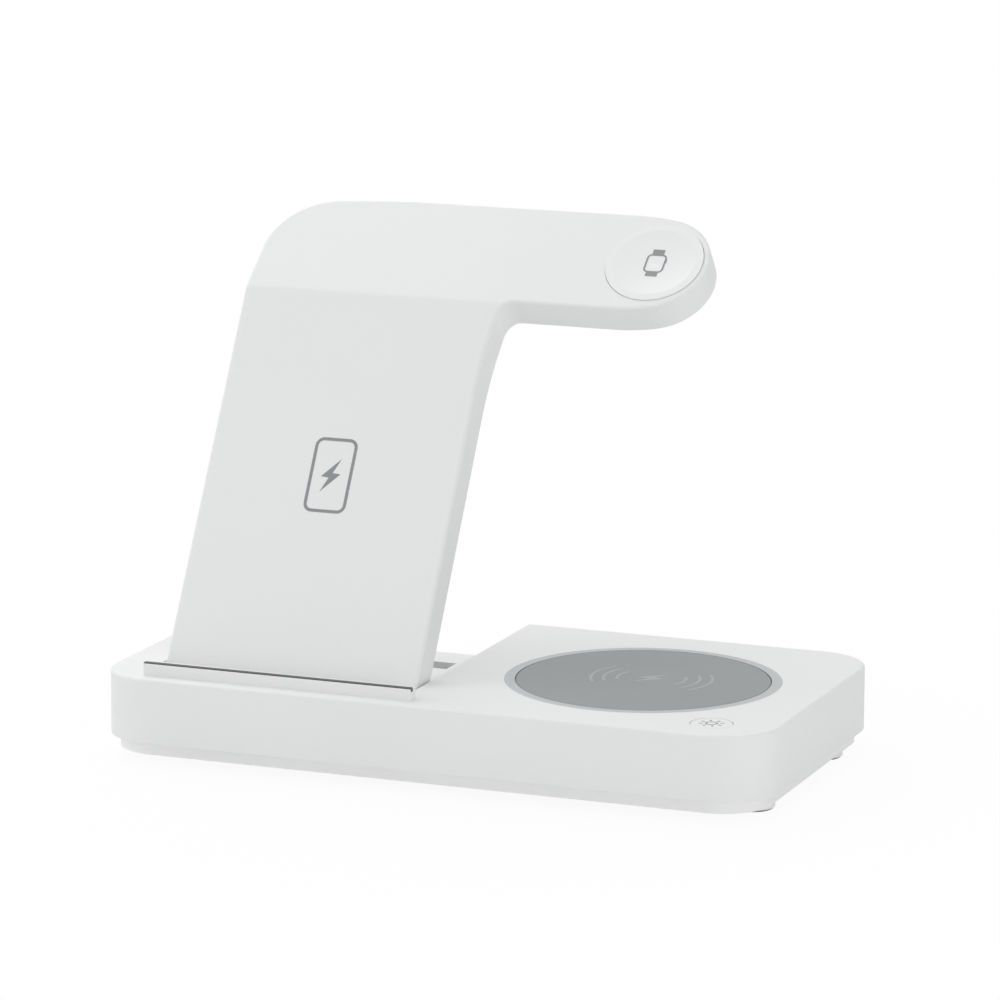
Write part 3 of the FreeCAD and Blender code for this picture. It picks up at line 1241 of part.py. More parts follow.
def make_watch_puck():
    """The watch puck: a rim and a dished face in front, and a can behind that holds its coil and magnet."""
    body = new_body("watch_puck")
    sketch = new_sketch(body, "puck_section", "XY_Plane")
    rim = "(sizes.puck_radius - sizes.puck_rim)"
    dish = value("sizes.puck_dish")
    proud = value("sizes.puck_proud")
    rim_start = FreeCAD.Vector(value(rim), -proud, 0)
    dish_bottom = FreeCAD.Vector(0, dish - proud, 0)
    steps = [("sizes.puck_radius", "-sizes.puck_proud"), ("sizes.puck_radius", "sizes.puck_seat"),
             (CAN_RADIUS, "sizes.puck_seat"), (CAN_RADIUS, "sizes.puck_can_depth"),
             (f"{CAN_RADIUS} - sizes.puck_wall", "sizes.puck_can_depth"),
             (f"{CAN_RADIUS} - sizes.puck_wall", DISH_INSIDE), ("0", DISH_INSIDE)]
    points = [rim_start] + [FreeCAD.Vector(value(x), value(y), 0) for x, y in steps] + [dish_bottom]
    lines = [sketch.addGeometry(Part.LineSegment(a, b)) for a, b in zip(points, points[1:])]
    for first, second in zip(lines, lines[1:]):
        sketch.addConstraint(Sketcher.Constraint("Coincident", first, 2, second, 1))
    for line, (x, y) in zip(lines, steps):
        hold(sketch, "DistanceX", -1, 1, line, 2, x)
        hold(sketch, "DistanceY", -1, 1, line, 2, y)
    hold(sketch, "DistanceX", -1, 1, lines[0], 1, rim)
    hold(sketch, "DistanceY", -1, 1, lines[0], 1, "-sizes.puck_proud")
    hold(sketch, "DistanceX", -1, 1, lines[-1], 2, "0")
    hold(sketch, "DistanceY", -1, 1, lines[-1], 2, "sizes.puck_dish - sizes.puck_proud")
    radius = (rim_start.x ** 2 + dish ** 2) / (2 * dish)
    centre = FreeCAD.Vector(0, dish_bottom.y - radius, 0)
    arc, arc_start, arc_end = add_arc(sketch, centre, dish_bottom, rim_start, False)
    sketch.addConstraint(Sketcher.Constraint("Coincident", lines[-1], 2, arc, arc_start))
    sketch.addConstraint(Sketcher.Constraint("Coincident", arc, arc_end, lines[0], 1))
    hold(sketch, "DistanceX", -1, 1, arc, 3, "0")
    turned(body, "puck_turned", sketch)
    return place_on_puck(body)


def puck_group(name, member):
    """A piece made on the puck's own axis, carried by the tilted panel."""
    return place_on_puck(group(name, [member]))


COIL_REACH = f"({CAN_RADIUS} - sizes.puck_wall - sizes.watch_inner_gap)"


def make_watch_coil():
    return puck_group("watch_coil", tube("watch_coil_ring", "y", "0", DISH_INSIDE, "0", COIL_REACH,
                                         "sizes.watch_coil_hole", "sizes.watch_coil_thickness"))


def make_watch_magnet():
    return puck_group("watch_magnet", rod("watch_magnet_disc", "y", "0", DISH_INSIDE, "0",
                                          "sizes.watch_magnet_radius", "sizes.watch_magnet_thickness"))


def make_watch_ferrite():
    return puck_group("watch_ferrite", tube("watch_ferrite_ring", "y", "0",
                                            f"{DISH_INSIDE} + sizes.watch_coil_thickness", "0", COIL_REACH,
                                            "sizes.watch_coil_hole", "sizes.watch_ferrite_thickness"))


def make_watch_board():
    """A small round board that closes the puck's can behind the magnet."""
    return puck_group("watch_board", rod("watch_board_disc", "y", "0",
                                         f"{DISH_INSIDE} + sizes.watch_magnet_thickness", "0", COIL_REACH,
                                         "sizes.watch_board_thickness"))


MAKERS = [
    make_base_shell, make_ledge_strip, make_bottom_cover, make_rubber_feet, make_cover_screws,
    make_charging_pad, make_pad_light_ring, make_ring_led_board, make_ring_leds, make_pad_coil,
    make_pad_ferrite, make_light_button, make_button_switch, make_switch_plunger, make_main_board,
    make_main_board_screws, make_control_chips, make_power_inductors, make_usb_socket_shell,
    make_usb_socket_tongue, make_hinge_bushes, make_hinge_pins, make_friction_washers, make_hinge_nuts,
    make_column_front_shell, make_column_back_cover, make_lower_phone_coil, make_upper_phone_coil,
    make_phone_ferrite, make_column_board, make_column_board_screws, make_column_chips, make_watch_puck,
    make_watch_coil, make_watch_magnet, make_watch_ferrite, make_watch_board,
]

pieces = [make() for make in MAKERS]
doc.recompute()

for item in doc.Objects:
    if "Invalid" in item.State or "Error" in item.State:
        raise RuntimeError(f"{item.Name} failed: {item.State} {item.getStatusString()}")
for piece in pieces:
    if piece.Shape.isNull() or not piece.Shape.isValid():
        raise RuntimeError(f"{piece.Label} has no valid shape")

os.makedirs("parts", exist_ok=True)
for piece in pieces:
    piece.Shape.exportStep(os.path.join("parts", f"{piece.Label}.step"))
    print(f"{piece.Label}: {len(piece.Shape.Solids)} solid(s), {piece.Shape.Volume:.1f} mm3")
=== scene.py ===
import math
import bmesh
import bpy
from mathutils import Matrix, Vector


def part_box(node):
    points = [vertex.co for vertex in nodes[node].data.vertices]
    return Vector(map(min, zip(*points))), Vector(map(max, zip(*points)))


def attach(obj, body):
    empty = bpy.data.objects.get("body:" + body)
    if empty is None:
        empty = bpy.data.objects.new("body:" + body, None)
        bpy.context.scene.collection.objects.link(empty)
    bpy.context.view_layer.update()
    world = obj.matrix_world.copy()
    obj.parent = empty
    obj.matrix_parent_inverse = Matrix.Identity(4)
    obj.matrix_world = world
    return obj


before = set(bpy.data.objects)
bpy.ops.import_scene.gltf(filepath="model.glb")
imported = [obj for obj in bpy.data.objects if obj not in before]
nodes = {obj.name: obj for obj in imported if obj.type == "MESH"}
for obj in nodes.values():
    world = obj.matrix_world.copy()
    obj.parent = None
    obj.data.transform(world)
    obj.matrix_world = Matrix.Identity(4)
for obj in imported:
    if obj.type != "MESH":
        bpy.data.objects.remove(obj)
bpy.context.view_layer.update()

# Bottom cover: the tray that closes the base from below; its set-in edge shows as a plinth under the wall.
# Injection-moulded white plastic with a fine eroded grain, held up by four screws from underneath.
# Its white is paler than the shell's: painted light, lifting the plinth against the shade under the wall's
# overhang.
COVER_PAINTED_LIGHT_WHITE = (0.918, 0.92, 0.916)
SATIN = 0.56
GRAIN_SHARE = 0.3
GRAIN_GLOSS, FLOW_GLOSS = 0.12, 0.06


class Wire:
    """One output in a material's nodes. Arithmetic on it adds Math nodes, and node() adds any other kind."""

    def __init__(self, tree, socket=None):
        self.tree = tree
        self.socket = socket

    def node(self, kind, settings, sockets, output=0):
        """Adds a node: its settings first, then the values or wires of its sockets."""
        made = self.tree.nodes.new(kind)
        for name, setting in settings.items():
            if name == "stops":
                ramp = made.color_ramp.elements
                while len(ramp) < len(setting):
                    ramp.new(0.5)
                for stop, (position, colour) in zip(ramp, setting):
                    stop.position = position
                    stop.color = colour
            else:
                setattr(made, name, setting)
        for name, source in sockets.items():
            if isinstance(source, Wire):
                self.tree.links.new(source.socket, made.inputs[name])
            else:
                made.inputs[name].default_value = source
        return Wire(self.tree, made.outputs[output] if made.outputs else None)

    def maths(self, operation, first, second=0.0):
        return self.node("ShaderNodeMath", {"operation": operation}, {0: first, 1: second})

    def __add__(self, other):
        return self.maths("ADD", self, other)

    __radd__ = __add__

    def __sub__(self, other):
        return self.maths("SUBTRACT", self, other)

    def __rsub__(self, other):
        return self.maths("SUBTRACT", other, self)

    def __mul__(self, other):
        return self.maths("MULTIPLY", self, other)

    __rmul__ = __mul__

    def __truediv__(self, other):
        return self.maths("DIVIDE", self, other)

    def __rtruediv__(self, other):
        return self.maths("DIVIDE", other, self)


def new_finish(name):
    """A material without nodes, and the first wire to build it on."""
    material = bpy.data.materials.new(name)
    material.use_nodes = True
    material.node_tree.nodes.clear()
    return material, Wire(material.node_tree)


def close_finish(wire, sockets):
    """Ends a material in one Principled shader with these sockets."""
    shader = wire.node("ShaderNodeBsdfPrincipled", {}, sockets)
    wire.node("ShaderNodeOutputMaterial", {}, {"Surface": shader})


def own_place(wire):
    """Where a point lies in the piece's own coordinates."""
    return wire.node("ShaderNodeTexCoord", {}, {}, "Object")


def noise(wire, place, scale, detail, roughness=0.5):
    return wire.node("ShaderNodeTexNoise", {},
                     {"Vector": place, "Scale": scale, "Detail": detail, "Roughness": roughness})


def bump(wire, height, strength, distance):
    return wire.node("ShaderNodeBump", {}, {"Strength": strength, "Distance": distance, "Height": height})


def opaque(colour, gain=1.0):
    """A colour made darker or paler, as the four numbers that a socket takes."""
    return tuple(min(1.0, part * gain) for part in colour) + (1.0,)


def mix_colours(wire, factor, first, second):
    return wire.node("ShaderNodeMix", {"data_type": "RGBA"}, {0: factor, 6: first, 7: second}, 2)


def moulded(name, colour, roughness, drift=0.03, grain=2600.0, depth=0.000012):
    """Moulded plastic: a fine eroded grain, and a faint drift of tone where the melt flowed."""
    material, wire = new_finish(name)
    place = own_place(wire)
    flow = noise(wire, place, 16.0, 2.0)
    fine = noise(wire, place, grain, 3.0, 0.6)
    spread = flow * (1 - GRAIN_SHARE) + fine * GRAIN_SHARE
    tone = mix_colours(wire, spread, opaque(colour, 1 - drift), opaque(colour, 1 + drift))
    gloss = roughness + (fine - 0.5) * GRAIN_GLOSS + (flow - 0.5) * FLOW_GLOSS
    close_finish(wire, {"Base Color": tone, "Roughness": gloss, "Normal": bump(wire, fine, 0.5, depth),
                        "IOR": 1.46})
    return material


def paint(material, *names):
    """Gives CAD nodes a finish."""
    for name in names:
        for holder in nodes[name].material_slots:
            holder.material = material


paint(moulded("cover_painted_light_white", COVER_PAINTED_LIGHT_WHITE, SATIN), "bottom_cover")

# Rubber feet: four thin discs of matt dark grey with a faint drift of tone, like a little dust; the dark grey
# is painted shade, standing for the shadow along the feet's undersides.
# They are cut from sheet and stuck under the bosses at the cover's corners.
# Painted shade: this dark grey stands for the shadow under the feet.
FOOT_SHADE_GREY = (0.26, 0.27, 0.28)
paint(moulded("foot_rubber", FOOT_SHADE_GREY, 0.8, drift=0.12, grain=1500.0, depth=0.00003), "rubber_feet")

# Screws, hinge pins, nuts and the power inlet's sleeve: plain steel, with fine lines from turning and rolling.
# The bushes that the pins turn in are brass, and the watch magnet is plated with nickel.
STEEL, BRASS, NICKEL = (0.58, 0.58, 0.59), (0.72, 0.55, 0.27), (0.66, 0.65, 0.63)
LINE_STRETCH = (120.0, 4000.0, 4000.0)


def drawn_metal(name, colour, roughness):
    """Bare metal with fine lines along X, darker in the lines."""
    material, wire = new_finish(name)
    stretched = wire.node("ShaderNodeMapping", {}, {"Vector": own_place(wire), "Scale": LINE_STRETCH})
    lines = noise(wire, stretched, 1.0, 2.0)
    tone = mix_colours(wire, lines, opaque(colour, 0.8), opaque(colour))
    close_finish(wire, {"Base Color": tone, "Metallic": 1.0, "Roughness": roughness + (lines - 0.5) * 0.2,
                        "Normal": bump(wire, lines, 0.3, 0.00001)})
    return material


paint(drawn_metal("plain_steel", STEEL, 0.34), "cover_screws", "main_board_screws", "hinge_pins",
      "hinge_nuts", "column_board_screws", "usb_socket_shell")
paint(drawn_metal("turned_brass", BRASS, 0.3), "hinge_bushes")
paint(drawn_metal("nickel_plate", NICKEL, 0.2), "watch_magnet")

# Circuit boards: glass-fibre boards under green solder mask, with copper runs that show as paler lines.
# The main board and the column's board are screwed to posts; the ring's and the puck's lie in their seats.
MASK_GREEN, RUN_GREEN = (0.02, 0.13, 0.05), (0.10, 0.34, 0.16)
material, wire = new_finish("circuit_mask")
place = own_place(wire)
runs = wire.node("ShaderNodeTexBrick", {"offset": 0.37, "squash": 1.0},
                 {"Vector": place, "Scale": 90.0, "Mortar Size": 0.035, "Color1": (0.0, 0.0, 0.0, 1.0),
                  "Color2": (0.25, 0.25, 0.25, 1.0), "Mortar": (1.0, 1.0, 1.0, 1.0)}, "Fac")
weave = noise(wire, place, 900.0, 2.0)
mask_tone = mix_colours(wire, runs * 0.6 + weave * 0.3, opaque(MASK_GREEN), opaque(RUN_GREEN))
close_finish(wire, {"Base Color": mask_tone, "Roughness": 0.3 + weave * 0.12,
                    "Normal": bump(wire, runs, 0.4, 0.00004)})
paint(material, "main_board", "ring_led_board", "column_board", "watch_board")

# Chips, the switch, the socket's tongue and the friction washers: moulded black plastic with a dull face.
# Chips and switch are soldered to the boards, and each washer is clamped between a hinge bush and its nut.
COMPONENT_BLACK = (0.025, 0.025, 0.027)
paint(moulded("component_black", COMPONENT_BLACK, 0.55, drift=0.2, grain=1800.0), "control_chips",
      "column_chips", "button_switch", "switch_plunger", "usb_socket_tongue", "friction_washers")

# Ferrite plates and cored inductors: black ferrite, pressed and fired, with a grey speckle.
# The plates lie behind the coils, and the inductors are soldered to the main board.
FERRITE_BLACK = (0.05, 0.05, 0.054)
paint(moulded("pressed_ferrite", FERRITE_BLACK, 0.62, drift=0.45, grain=1100.0, depth=0.00004),
      "pad_ferrite", "phone_ferrite", "watch_ferrite", "power_inductors")

# Charging coils: flat spirals of varnished copper wire, glued to the ferrite behind them.
# The pad's coil lies flat, the phone's two lean with the board, and the watch's leans with the upper panel.
# The groove colour is painted shade: the copper darkens between the turns, where shade falls.
GROOVE_SHADE_COPPER, RIDGE_COPPER = (0.30, 0.12, 0.05), (0.80, 0.42, 0.22)
HALF_PITCH = 0.0005
BOARD_LEAN, PANEL_BEND = 29.6, 21.1
PANEL_LEAN = BOARD_LEAN + PANEL_BEND
FLAT = 90.0


def face_axes(lean):
    """The directions up a face that leans back by this many degrees, and out of it."""
    angle = math.radians(lean)
    return (Vector((0, math.sin(angle), math.cos(angle))), Vector((0, -math.cos(angle), math.sin(angle))))


def box_middle(node):
    low_corner, high_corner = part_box(node)
    return (Vector(low_corner) + Vector(high_corner)) / 2


def wound_copper(name, middle, axis):
    """Copper wire wound in rings about a line through a point; the rings show as ridges, with painted shade
    darkening the copper in the grooves between them.
    """
    material, wire = new_finish(name)
    offset = wire.node("ShaderNodeVectorMath", {"operation": "SUBTRACT"}, {0: own_place(wire), 1: middle})
    deep = wire.node("ShaderNodeVectorMath", {"operation": "DOT_PRODUCT"}, {0: offset, 1: axis}, "Value")
    whole = wire.node("ShaderNodeVectorMath", {"operation": "LENGTH"}, {0: offset}, "Value")
    from_axis = wire.maths("SQRT", wire.maths("MAXIMUM", whole * whole - deep * deep, 0.0))
    ridge = wire.maths("PINGPONG", from_axis, HALF_PITCH) / HALF_PITCH
    tone = mix_colours(wire, ridge, opaque(GROOVE_SHADE_COPPER), opaque(RIDGE_COPPER))
    close_finish(wire, {"Base Color": tone, "Metallic": 0.85, "Roughness": 0.42 - ridge * 0.12,
                        "Normal": bump(wire, ridge, 0.7, 0.0002)})
    return material


for coil, coil_lean in (("pad_coil", FLAT), ("lower_phone_coil", BOARD_LEAN),
                        ("upper_phone_coil", BOARD_LEAN), ("watch_coil", PANEL_LEAN)):
    coil_axis = face_axes(coil_lean)[1]
    paint(wound_copper(f"{coil}_copper", tuple(box_middle(coil)), tuple(coil_axis)), coil)

# Ring lamps: twelve small white lamp bodies, soldered to the ring's circuit board.
# Each is moulded plastic and sits in a seat of the clear ring, which spreads its light.
LAMP_WHITE = (0.80, 0.80, 0.72)
paint(moulded("lamp_body", LAMP_WHITE, 0.35, drift=0.06), "ring_leds")

# Base shell and column: the satin white mouldings that make nearly all of the dock's look.
# Injection-moulded plastic; its tone drifts very slightly, and a fine grain keeps the highlights soft.
# A bent cover closes the column from behind, and the column turns on two pins in the base's recess.
HOUSING_WHITE = (0.832, 0.834, 0.830)
paint(moulded("housing_white", HOUSING_WHITE, SATIN), "base_shell", "column_front_shell", "column_back_cover")

# Ledge strip: a dark grey matt strip; its dark grey is painted shade, standing for the shade in the slot
# between the ledge and the board.
# It is moulded in one length and let into a groove in the top of the phone ledge.
# Painted shade: the strip's dark grey stands for the slot's shade.
SLOT_SHADE_GREY = (0.115, 0.12, 0.125)
paint(moulded("strip_painted_shade", SLOT_SHADE_GREY, 0.72, drift=0.15, grain=1600.0, depth=0.00003), "ledge_strip")

# Light ring: a frosted clear moulding round the pad that spreads the light of the lamps under it.
# It looks pale grey when it is off; a painted highlight brightens its outer edge where it meets the deck, and
# painted shade darkens its inner edge beside the pad.
# A flange under the deck holds it.
RING_WIDTH = 0.0028
# Tone across the ring, inner edge to outer: painted shade at the inner edge beside the pad, painted highlight
# at the outer edge.
RING_PAINTED_EDGE_STOPS = ((0.0, (0.40, 0.42, 0.425)), (0.12, (0.45, 0.475, 0.48)), (0.86, (0.455, 0.48, 0.485)),
              (1.0, (0.55, 0.57, 0.575)))
FROST_WHITE = (0.58, 0.60, 0.605)
pad_low, pad_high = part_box("charging_pad")
pad_middle = box_middle("charging_pad")
pad_radius = (pad_high[0] - pad_low[0]) / 2
material, wire = new_finish("frosted_ring")
place = own_place(wire)
offset = wire.node("ShaderNodeVectorMath", {"operation": "SUBTRACT"},
                   {0: place, 1: (pad_middle.x, pad_middle.y, 0.0)})
level_offset = wire.node("ShaderNodeVectorMath", {"operation": "MULTIPLY"}, {0: offset, 1: (1.0, 1.0, 0.0)})
from_middle = wire.node("ShaderNodeVectorMath", {"operation": "LENGTH"}, {0: level_offset}, "Value")
across = wire.node("ShaderNodeMapRange", {}, {"Value": from_middle, "From Min": pad_radius,
                                              "From Max": pad_radius + RING_WIDTH})
frost = noise(wire, place, 1800.0, 3.0)
ring_painted_edge_stops = [(position, opaque(colour)) for position, colour in RING_PAINTED_EDGE_STOPS]
ring_painted_edge_tone = wire.node("ShaderNodeValToRGB", {"stops": ring_painted_edge_stops}, {"Fac": across})
ring_colour = mix_colours(wire, frost * 0.1, ring_painted_edge_tone, opaque(FROST_WHITE))
close_finish(wire, {"Base Color": ring_colour, "Roughness": 0.32 + frost * 0.14,
                    "Normal": bump(wire, frost, 0.4, 0.00002), "IOR": 1.49})
paint(material, "pad_light_ring")

# Charging pad: a matt grey disc, flush with the deck, that a phone or an earphone case lies on.
# Moulded plastic with a soft-touch coat of fine pebble; it is seated inside the light ring.
PAD_DARK, PAD_PALE = (0.258, 0.273, 0.277), (0.292, 0.308, 0.312)
material, wire = new_finish("soft_touch_grey")
place = own_place(wire)
pebble = wire.node("ShaderNodeTexVoronoi", {"feature": "F1"}, {"Vector": place, "Scale": 2200.0}, "Distance")
cloud = noise(wire, place, 45.0, 3.0)
pad_tone = mix_colours(wire, cloud * 0.7 + pebble * 0.3, opaque(PAD_DARK), opaque(PAD_PALE))
close_finish(wire, {"Base Color": pad_tone, "Roughness": 0.5 + pebble * 0.1,
                    "Normal": bump(wire, pebble, 0.35, 0.00003), "IOR": 1.45})
paint(material, "charging_pad")

# Charging sign: a bolt between two sets of arcs, in a slightly paler grey than the pad.
# It is screen-printed on the pad, a film of ink a few hundredths of a millimetre thick.
PAD_INK = (0.345, 0.365, 0.37)
PAD_ARCS = ((0.0093, 29), (0.0130, 34), (0.0164, 34))
PAD_ARC_LINE = 0.00085
PAD_BOLT = (0.0086, 0.0108)
PAD_SIGN_SHIFT = (0.0015, 0.0024)
INK_FILM = 0.00003


def new_ink(name, colour):
    """Screen-printed ink: even, with the faint grain of the screen."""
    material, wire = new_finish(name)
    screen = noise(wire, own_place(wire), 3500.0, 2.0)
    tone = mix_colours(wire, screen, opaque(colour, 0.94), opaque(colour, 1.06))
    close_finish(wire, {"Base Color": tone, "Roughness": 0.45 + screen * 0.1,
                        "Normal": bump(wire, screen, 0.2, 0.00001)})
    return material


def add_arc(mesh, radius, width, start, sweep, steps):
    """Adds a flat band along an arc, by spinning a short line; a full turn closes on itself."""
    line = [mesh.verts.new((radius + side * width / 2, 0.0, 0.0)) for side in (-1, 1)]
    edge = mesh.edges.new(line)
    bmesh.ops.rotate(mesh, verts=line, cent=(0, 0, 0), matrix=Matrix.Rotation(start, 3, "Z"))
    full = abs(sweep) >= 2 * math.pi
    bmesh.ops.spin(mesh, geom=line + [edge], cent=(0, 0, 0), axis=(0, 0, 1), angle=sweep, steps=steps,
                   use_merge=full)


def add_patch(mesh, *corners):
    """Adds a flat patch with these corners."""
    return mesh.faces.new([mesh.verts.new((x, y, 0.0)) for x, y in corners])


def add_bolt(mesh, width, height):
    """Adds a lightning bolt, its upper tip to the right; one half is the other turned round."""
    half = [(0.42 * width, 0.5 * height), (-0.5 * width, -0.05 * height), (-0.08 * width, -0.07 * height)]
    add_patch(mesh, *half, *((-x, -y) for x, y in half))


def print_sign(name, mesh, matrix, ink, body, film=INK_FILM, sag=None):
    """Makes flat shapes a thin film of ink, bends it to a dished face if told how, and lays it in place."""
    bmesh.ops.remove_doubles(mesh, verts=mesh.verts, dist=1e-7)
    if sag:
        bmesh.ops.subdivide_edges(mesh, edges=mesh.edges[:], cuts=2, use_grid_fill=True)
    bmesh.ops.recalc_face_normals(mesh, faces=mesh.faces[:])
    for face in mesh.faces:
        if face.normal.z < 0:
            face.normal_flip()
    top = bmesh.ops.extrude_face_region(mesh, geom=mesh.faces[:])
    raised = [part for part in top["geom"] if isinstance(part, bmesh.types.BMVert)]
    bmesh.ops.translate(mesh, verts=raised, vec=(0, 0, film))
    if sag:
        for vert in mesh.verts:
            vert.co.z += sag(vert.co.x, vert.co.y)
    bmesh.ops.recalc_face_normals(mesh, faces=mesh.faces[:])
    bmesh.ops.transform(mesh, matrix=matrix, verts=mesh.verts)
    data = bpy.data.meshes.new(name)
    mesh.to_mesh(data)
    mesh.free()
    piece = bpy.data.objects.new(name, data)
    bpy.context.collection.objects.link(piece)
    data.materials.append(ink)
    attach(piece, body)


sign = bmesh.new()
for arc_radius, half_angle in PAD_ARCS:
    for side in (0.0, math.pi):
        arc_start, arc_sweep = side - math.radians(half_angle), math.radians(2 * half_angle)
        add_arc(sign, arc_radius, PAD_ARC_LINE, arc_start, arc_sweep, 20)
add_bolt(sign, *PAD_BOLT)
pad_sign_place = (pad_middle.x + PAD_SIGN_SHIFT[0], pad_middle.y + PAD_SIGN_SHIFT[1], pad_high[2])
print_sign("pad_charging_sign", sign, Matrix.Translation(pad_sign_place), new_ink("pad_ink", PAD_INK), "base")

# Light button: a satin white cap in the deck's front corner, moulded with a flange that keeps it in.
# A sun is screen-printed on it in grey.
SIGN_GREY = (0.26, 0.275, 0.28)
SUN_RADIUS, SUN_LINE = 0.00145, 0.0005
RAY_START, RAY_END, RAY_HALF = 0.0023, 0.0034, 0.00025
RAYS = 8
paint(moulded("button_white", HOUSING_WHITE, 0.52), "light_button")
button_middle = box_middle("light_button")
button_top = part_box("light_button")[1][2]
sign_grey = new_ink("sign_grey", SIGN_GREY)
sign = bmesh.new()
add_arc(sign, SUN_RADIUS, SUN_LINE, 0.0, 2 * math.pi, 32)
for ray in range(RAYS):
    ray_angle = 2 * math.pi * (ray + 0.5) / RAYS
    along = Vector((math.cos(ray_angle), math.sin(ray_angle)))
    beside = Vector((-math.sin(ray_angle), math.cos(ray_angle))) * RAY_HALF
    add_patch(sign, along * RAY_START - beside, along * RAY_END - beside, along * RAY_END + beside,
              along * RAY_START + beside)
print_sign("button_sun_sign", sign, Matrix.Translation((button_middle.x, button_middle.y, button_top)),
           sign_grey, "button")

# Phone sign: a plain phone outline with a bolt, to show where a phone goes.
# It is screen-printed in the middle of the leaning board, in the same grey ink as the sun.
HINGE = Vector((0.0, -0.0286, 0.0184))
BOARD_MIDDLE = -0.045425
BOARD_FACE = 0.0047
PHONE_SIGN_UP = 0.0605
PHONE_OUTLINE = {"width": 0.0125, "height": 0.0215, "corner": 0.0025, "line": 0.0009}
PHONE_BOLT = (0.0056, 0.0098)


def on_face(origin, up_face, out_of_face):
    """The place of a flat sign on a leaning face: X stays level, Y runs up the face, Z stands out of it."""
    turned = Matrix((Vector((1, 0, 0)), up_face, out_of_face)).transposed()
    return Matrix.Translation(origin) @ turned.to_4x4()


def add_block(mesh, left, foot, right, head):
    """Adds a flat patch with upright and level sides."""
    return add_patch(mesh, (left, foot), (right, foot), (right, head), (left, head))


def add_outline(mesh, width, height, corner, line):
    """Adds a round-cornered outline of even width."""
    patch = add_block(mesh, -width / 2, -height / 2, width / 2, height / 2)
    rounded = bmesh.ops.bevel(mesh, geom=patch.verts[:], offset=corner, offset_type="OFFSET",
                              affect="VERTICES", segments=6, profile=0.5, material=-1)
    inside = [face for face in mesh.faces if all(vert in face.verts for vert in rounded["verts"])]
    bmesh.ops.inset_region(mesh, faces=inside, thickness=line, use_even_offset=True, use_boundary=True)
    bmesh.ops.delete(mesh, geom=inside, context="FACES_ONLY")


board_up, board_out = face_axes(BOARD_LEAN)
board_front = HINGE + board_out * BOARD_FACE
sign = bmesh.new()
add_outline(sign, **PHONE_OUTLINE)
add_bolt(sign, *PHONE_BOLT)
phone_sign_place = board_front + board_up * PHONE_SIGN_UP + Vector((BOARD_MIDDLE, 0, 0))
print_sign("phone_sign", sign, on_face(phone_sign_place, board_up, board_out), sign_grey, "column")

# Watch puck: a polished white puck let into the arm's round end, dished so that a watch's back nests in it.
# Moulded gloss plastic with a can behind its face; a watch outline is printed in the middle of the dish.
PUCK_WHITE = (0.835, 0.845, 0.845)
CREASE_UP = 0.1135
PUCK_UP, PUCK_MIDDLE = 0.0181, 0.0331
DISH_DEPTH, DISH_REACH, PUCK_PROUD = 0.0009, 0.0117, 0.0003
WATCH_CASE = {"width": 0.0057, "height": 0.0066, "corner": 0.0014, "line": 0.0005}
STRAP_HALF, STRAP_START, STRAP_HEAD, STRAP_FOOT = 0.00168, 0.0032, 0.00495, -0.00475
CROWN = (0.0028, 0.0003, 0.00305, 0.0017)
WATCH_SIGN_UP, WATCH_FILM, INK_LIFT = 0.0002, 0.00005, 0.00001
paint(moulded("puck_white", PUCK_WHITE, 0.34, drift=0.02, grain=3200.0, depth=0.000006), "watch_puck")
panel_up, panel_out = face_axes(PANEL_LEAN)
crease = board_front + board_up * CREASE_UP
puck_middle = Vector((PUCK_MIDDLE, crease.y, crease.z)) + panel_up * PUCK_UP
dish_radius = (DISH_REACH ** 2 + DISH_DEPTH ** 2) / (2 * DISH_DEPTH)


def dish_height(x, y):
    """The dished face's height at a place, seen from the rim's plane, with the ink just clear of it."""
    return PUCK_PROUD - DISH_DEPTH + (x * x + y * y) / (2 * dish_radius) + INK_LIFT


sign = bmesh.new()
add_outline(sign, **WATCH_CASE)
add_block(sign, -STRAP_HALF, STRAP_START, STRAP_HALF, STRAP_HEAD)
add_block(sign, -STRAP_HALF, -STRAP_START, STRAP_HALF, STRAP_FOOT)
add_block(sign, *CROWN)
print_sign("watch_sign", sign, on_face(puck_middle + panel_up * WATCH_SIGN_UP, panel_up, panel_out), sign_grey,
           "column", film=WATCH_FILM, sag=dish_height)

# Studio: a white floor that keeps a faint shadow, white surroundings and five soft boxes.
# The floor lies a hair under the feet, and fades to plain white away from the dock.
FLOOR_HALF, FLOOR_DROP = 6.0, 0.0001
SHADOW_NEAR, SHADOW_FAR, NEAR_WHITE = 0.06, 0.22, 0.93
WHITE, FLOOR_WHITE, SKY_WHITE = (1.0, 1.0, 1.0), (0.9, 0.9, 0.9), (0.985, 0.993, 1.0)
SKY_STRENGTH = 0.53
DOCK_MIDDLE, DOCK_FOOT = (0.0, 0.0, 0.06), (0.0, 0.0, 0.03)
SOFTBOXES = (
    ("top_softbox", (0.0, 0.0, 1.3), DOCK_MIDDLE, 0.8, 1.8),
    ("left_softbox", (-0.9, -0.35, 0.5), DOCK_MIDDLE, 0.7, 2.65),
    ("back_softbox", (-0.6, 0.6, 1.0), DOCK_MIDDLE, 0.8, 4.7),
    ("right_softbox", (1.0, -0.2, 0.5), DOCK_MIDDLE, 0.7, 0.95),
    ("low_softbox", (0.85, -0.95, 0.12), DOCK_FOOT, 0.5, 3.4),
)


def shows_backdrop(wire):
    """1 for rays that show what they meet, straight or in gloss and glass, and 0 for those that only light."""
    seen = [wire.node("ShaderNodeLightPath", {}, {}, ray) for ray in
            ("Is Camera Ray", "Is Glossy Ray", "Is Transmission Ray")]
    return wire.maths("MINIMUM", seen[0] + seen[1] + seen[2], 1.0)


